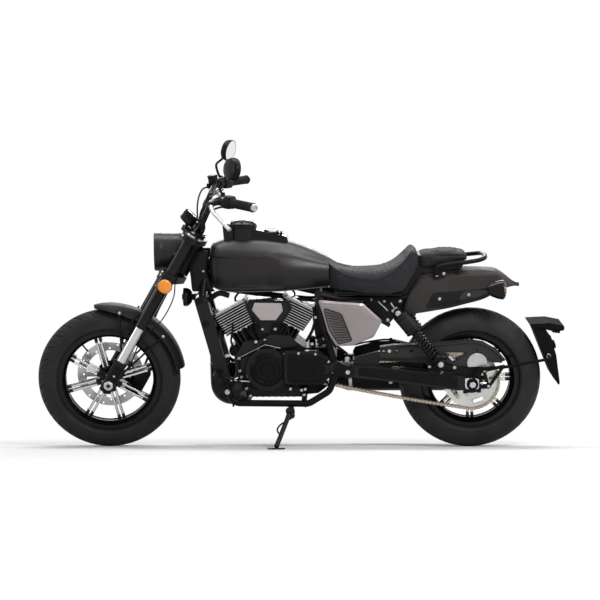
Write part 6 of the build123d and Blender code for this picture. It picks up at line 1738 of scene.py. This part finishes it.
core.band(RADIATOR @ Vector((-15, 0, 0)), RADIATOR.to_3x3() @ Vector(BACK),
    [(72, 0), (74, 1), (74, 10), (70, 10), (70, 0)], 0, 48)
core.hose([RADIATOR @ Vector((-6, -62, -116)), (1040, -66, 384), (1010, -84, 352), (975, -98, 345)], 8, 12.5, 3, 20)
core.hose([RADIATOR @ Vector((-10, 60, 112)), (1084, 64, 652), (1050, 76, 672), (1010, 84, 664)], 8, 11.5, 3, 20)
core.done("radiator_core", [SATIN, CORE, STEEL, SOFT], "satin_black", bevel=0.5)

# folded cowls in front of the spars
cowls = Piece()
ROWS = [  # Z, back X, front X, half width at the folds and between them
    (676, 1070, 1162, 54, 56), (684, 1076, 1165, 60, 64), (699, 1087, 1167, 61, 66.5), (736, 1098, 1170, 58, 63),
    (771, 1105, 1174, 64, 71.5), (790, 1102, 1171, 59, 66), (818, 1098, 1156, 52, 59), (838, 1095, 1142, 47, 53),
    (846, 1095, 1124, 45.5, 48),
]
for y in SIDES:
    rings = []
    for z, back, front, edge, crest in ROWS:
        section = [(back, 44), (back, edge), (back + 7, crest), (front - 16, crest), (front, edge), (front, 44)]
        rings.append([(x, y * out, z) for x, out in section])
    cowls.rings(rings, 0)
    cowls.screw((1116, y * 69.5, 764), (0, y, 0), 4.0, 1)
# the cowls take the same darker copy of the charcoal paint, darkened as painted shade
cowls.done("cowl_panels", [DULL_CHARCOAL_SHADED, STEEL], "matte_charcoal", replaces=["radiator_cowls"], bevel=1.0, angle=14)

horn = Piece()
horn.lathe((1176, 0, 645), AHEAD, [(20, -6), (27, -2), (37, 8), (40, 14), (40, 26), (38.4, 29), (36.5, 30),
    (35.6, 27)], 0, 48)
horn.lathe((1176, 0, 645), AHEAD, [(35.6, 27), (33, 24.5), (31, 27.5), (28.4, 24.5), (26, 27.5), (22, 25), (19, 31),
    (13, 33), (12.4, 36), (0, 37)], 1, 48)
horn.knob((1170, 0, 645), BACK, (13, 0, 12), (10, 14), 2, 24)
for y in (-9, 9):
    horn.box((1158, y, 652), (10, 6, 12), 2)
    horn.hose([(1154, y, 652), (1140, y * 1.6, 664), (1122, y * 2, 690), (1116, y * 2, 730)], 6, 2.6, 2, 8)
horn.done("horn_faces", [GLOSS, HORN, SOFT], "gloss_black", bevel=0.4)

# frame: bolts and washers at the spars, weld beads, engine hangers and wiring
fittings = Piece()
for y in SIDES:
    for x, z in ((1132, 646), (1106, 552), (1052, 352), (1034, 300)):
        fittings.knob((x, y * 115.5, z), (0, y, 0), (15, 0, 2.4), (13, 3.4), 0, 28)
        fittings.screw((x, y * 119, z), (0, y, 0), 6.6, 0)
    for x, z, dx, dz in ((1022, 268, 20, 56), (996, 213, 60, 0), (694, 213, -60, 0), (580, 300, -4, 60),
            (606, 500, 30, 90)):
        fittings.lathe((x, y * (112 if x > 900 else 125), z), (dx, 0, dz),
            [(14, -4), (16.4, -2), (16.8, 0), (16.4, 2), (14, 4)], 0, 28)
    # engine hangers
    for x, z in ((612, 486), (590, 300), (984, 260)):
        fittings.side(pill((x, z), (x + (24 if x < 900 else -20), z + (-14 if z > 400 else 10)), 15, 11),
            y * 96, y * 103, 0)
        fittings.bolt((x, y * 103, z), (0, y, 0), 7, 1)
    # wiring along the backbone, tied to it
    fittings.hose([(1112, y * 30, 770), (1080, y * 34, 700), (980, y * 34, 672), (820, y * 34, 652),
        (680, y * 36, 636), (620, y * 60, 640)], 8, 6.2, 2, 12)
    for x, z in ((1030, 684), (900, 661), (760, 645)):
        fittings.box((x, y * 33, z), (6, 12, 16), 2)
    # the seam along the seat rail
    fittings.tube([(630, y * 111, 668), (560, y * 103, 650), (420, y * 93, 650), (300, y * 89, 650)], 2.4, 0, 8)
fittings.done("frame_fittings", [SATIN, STEEL, SOFT], "satin_black", bevel=0.4)
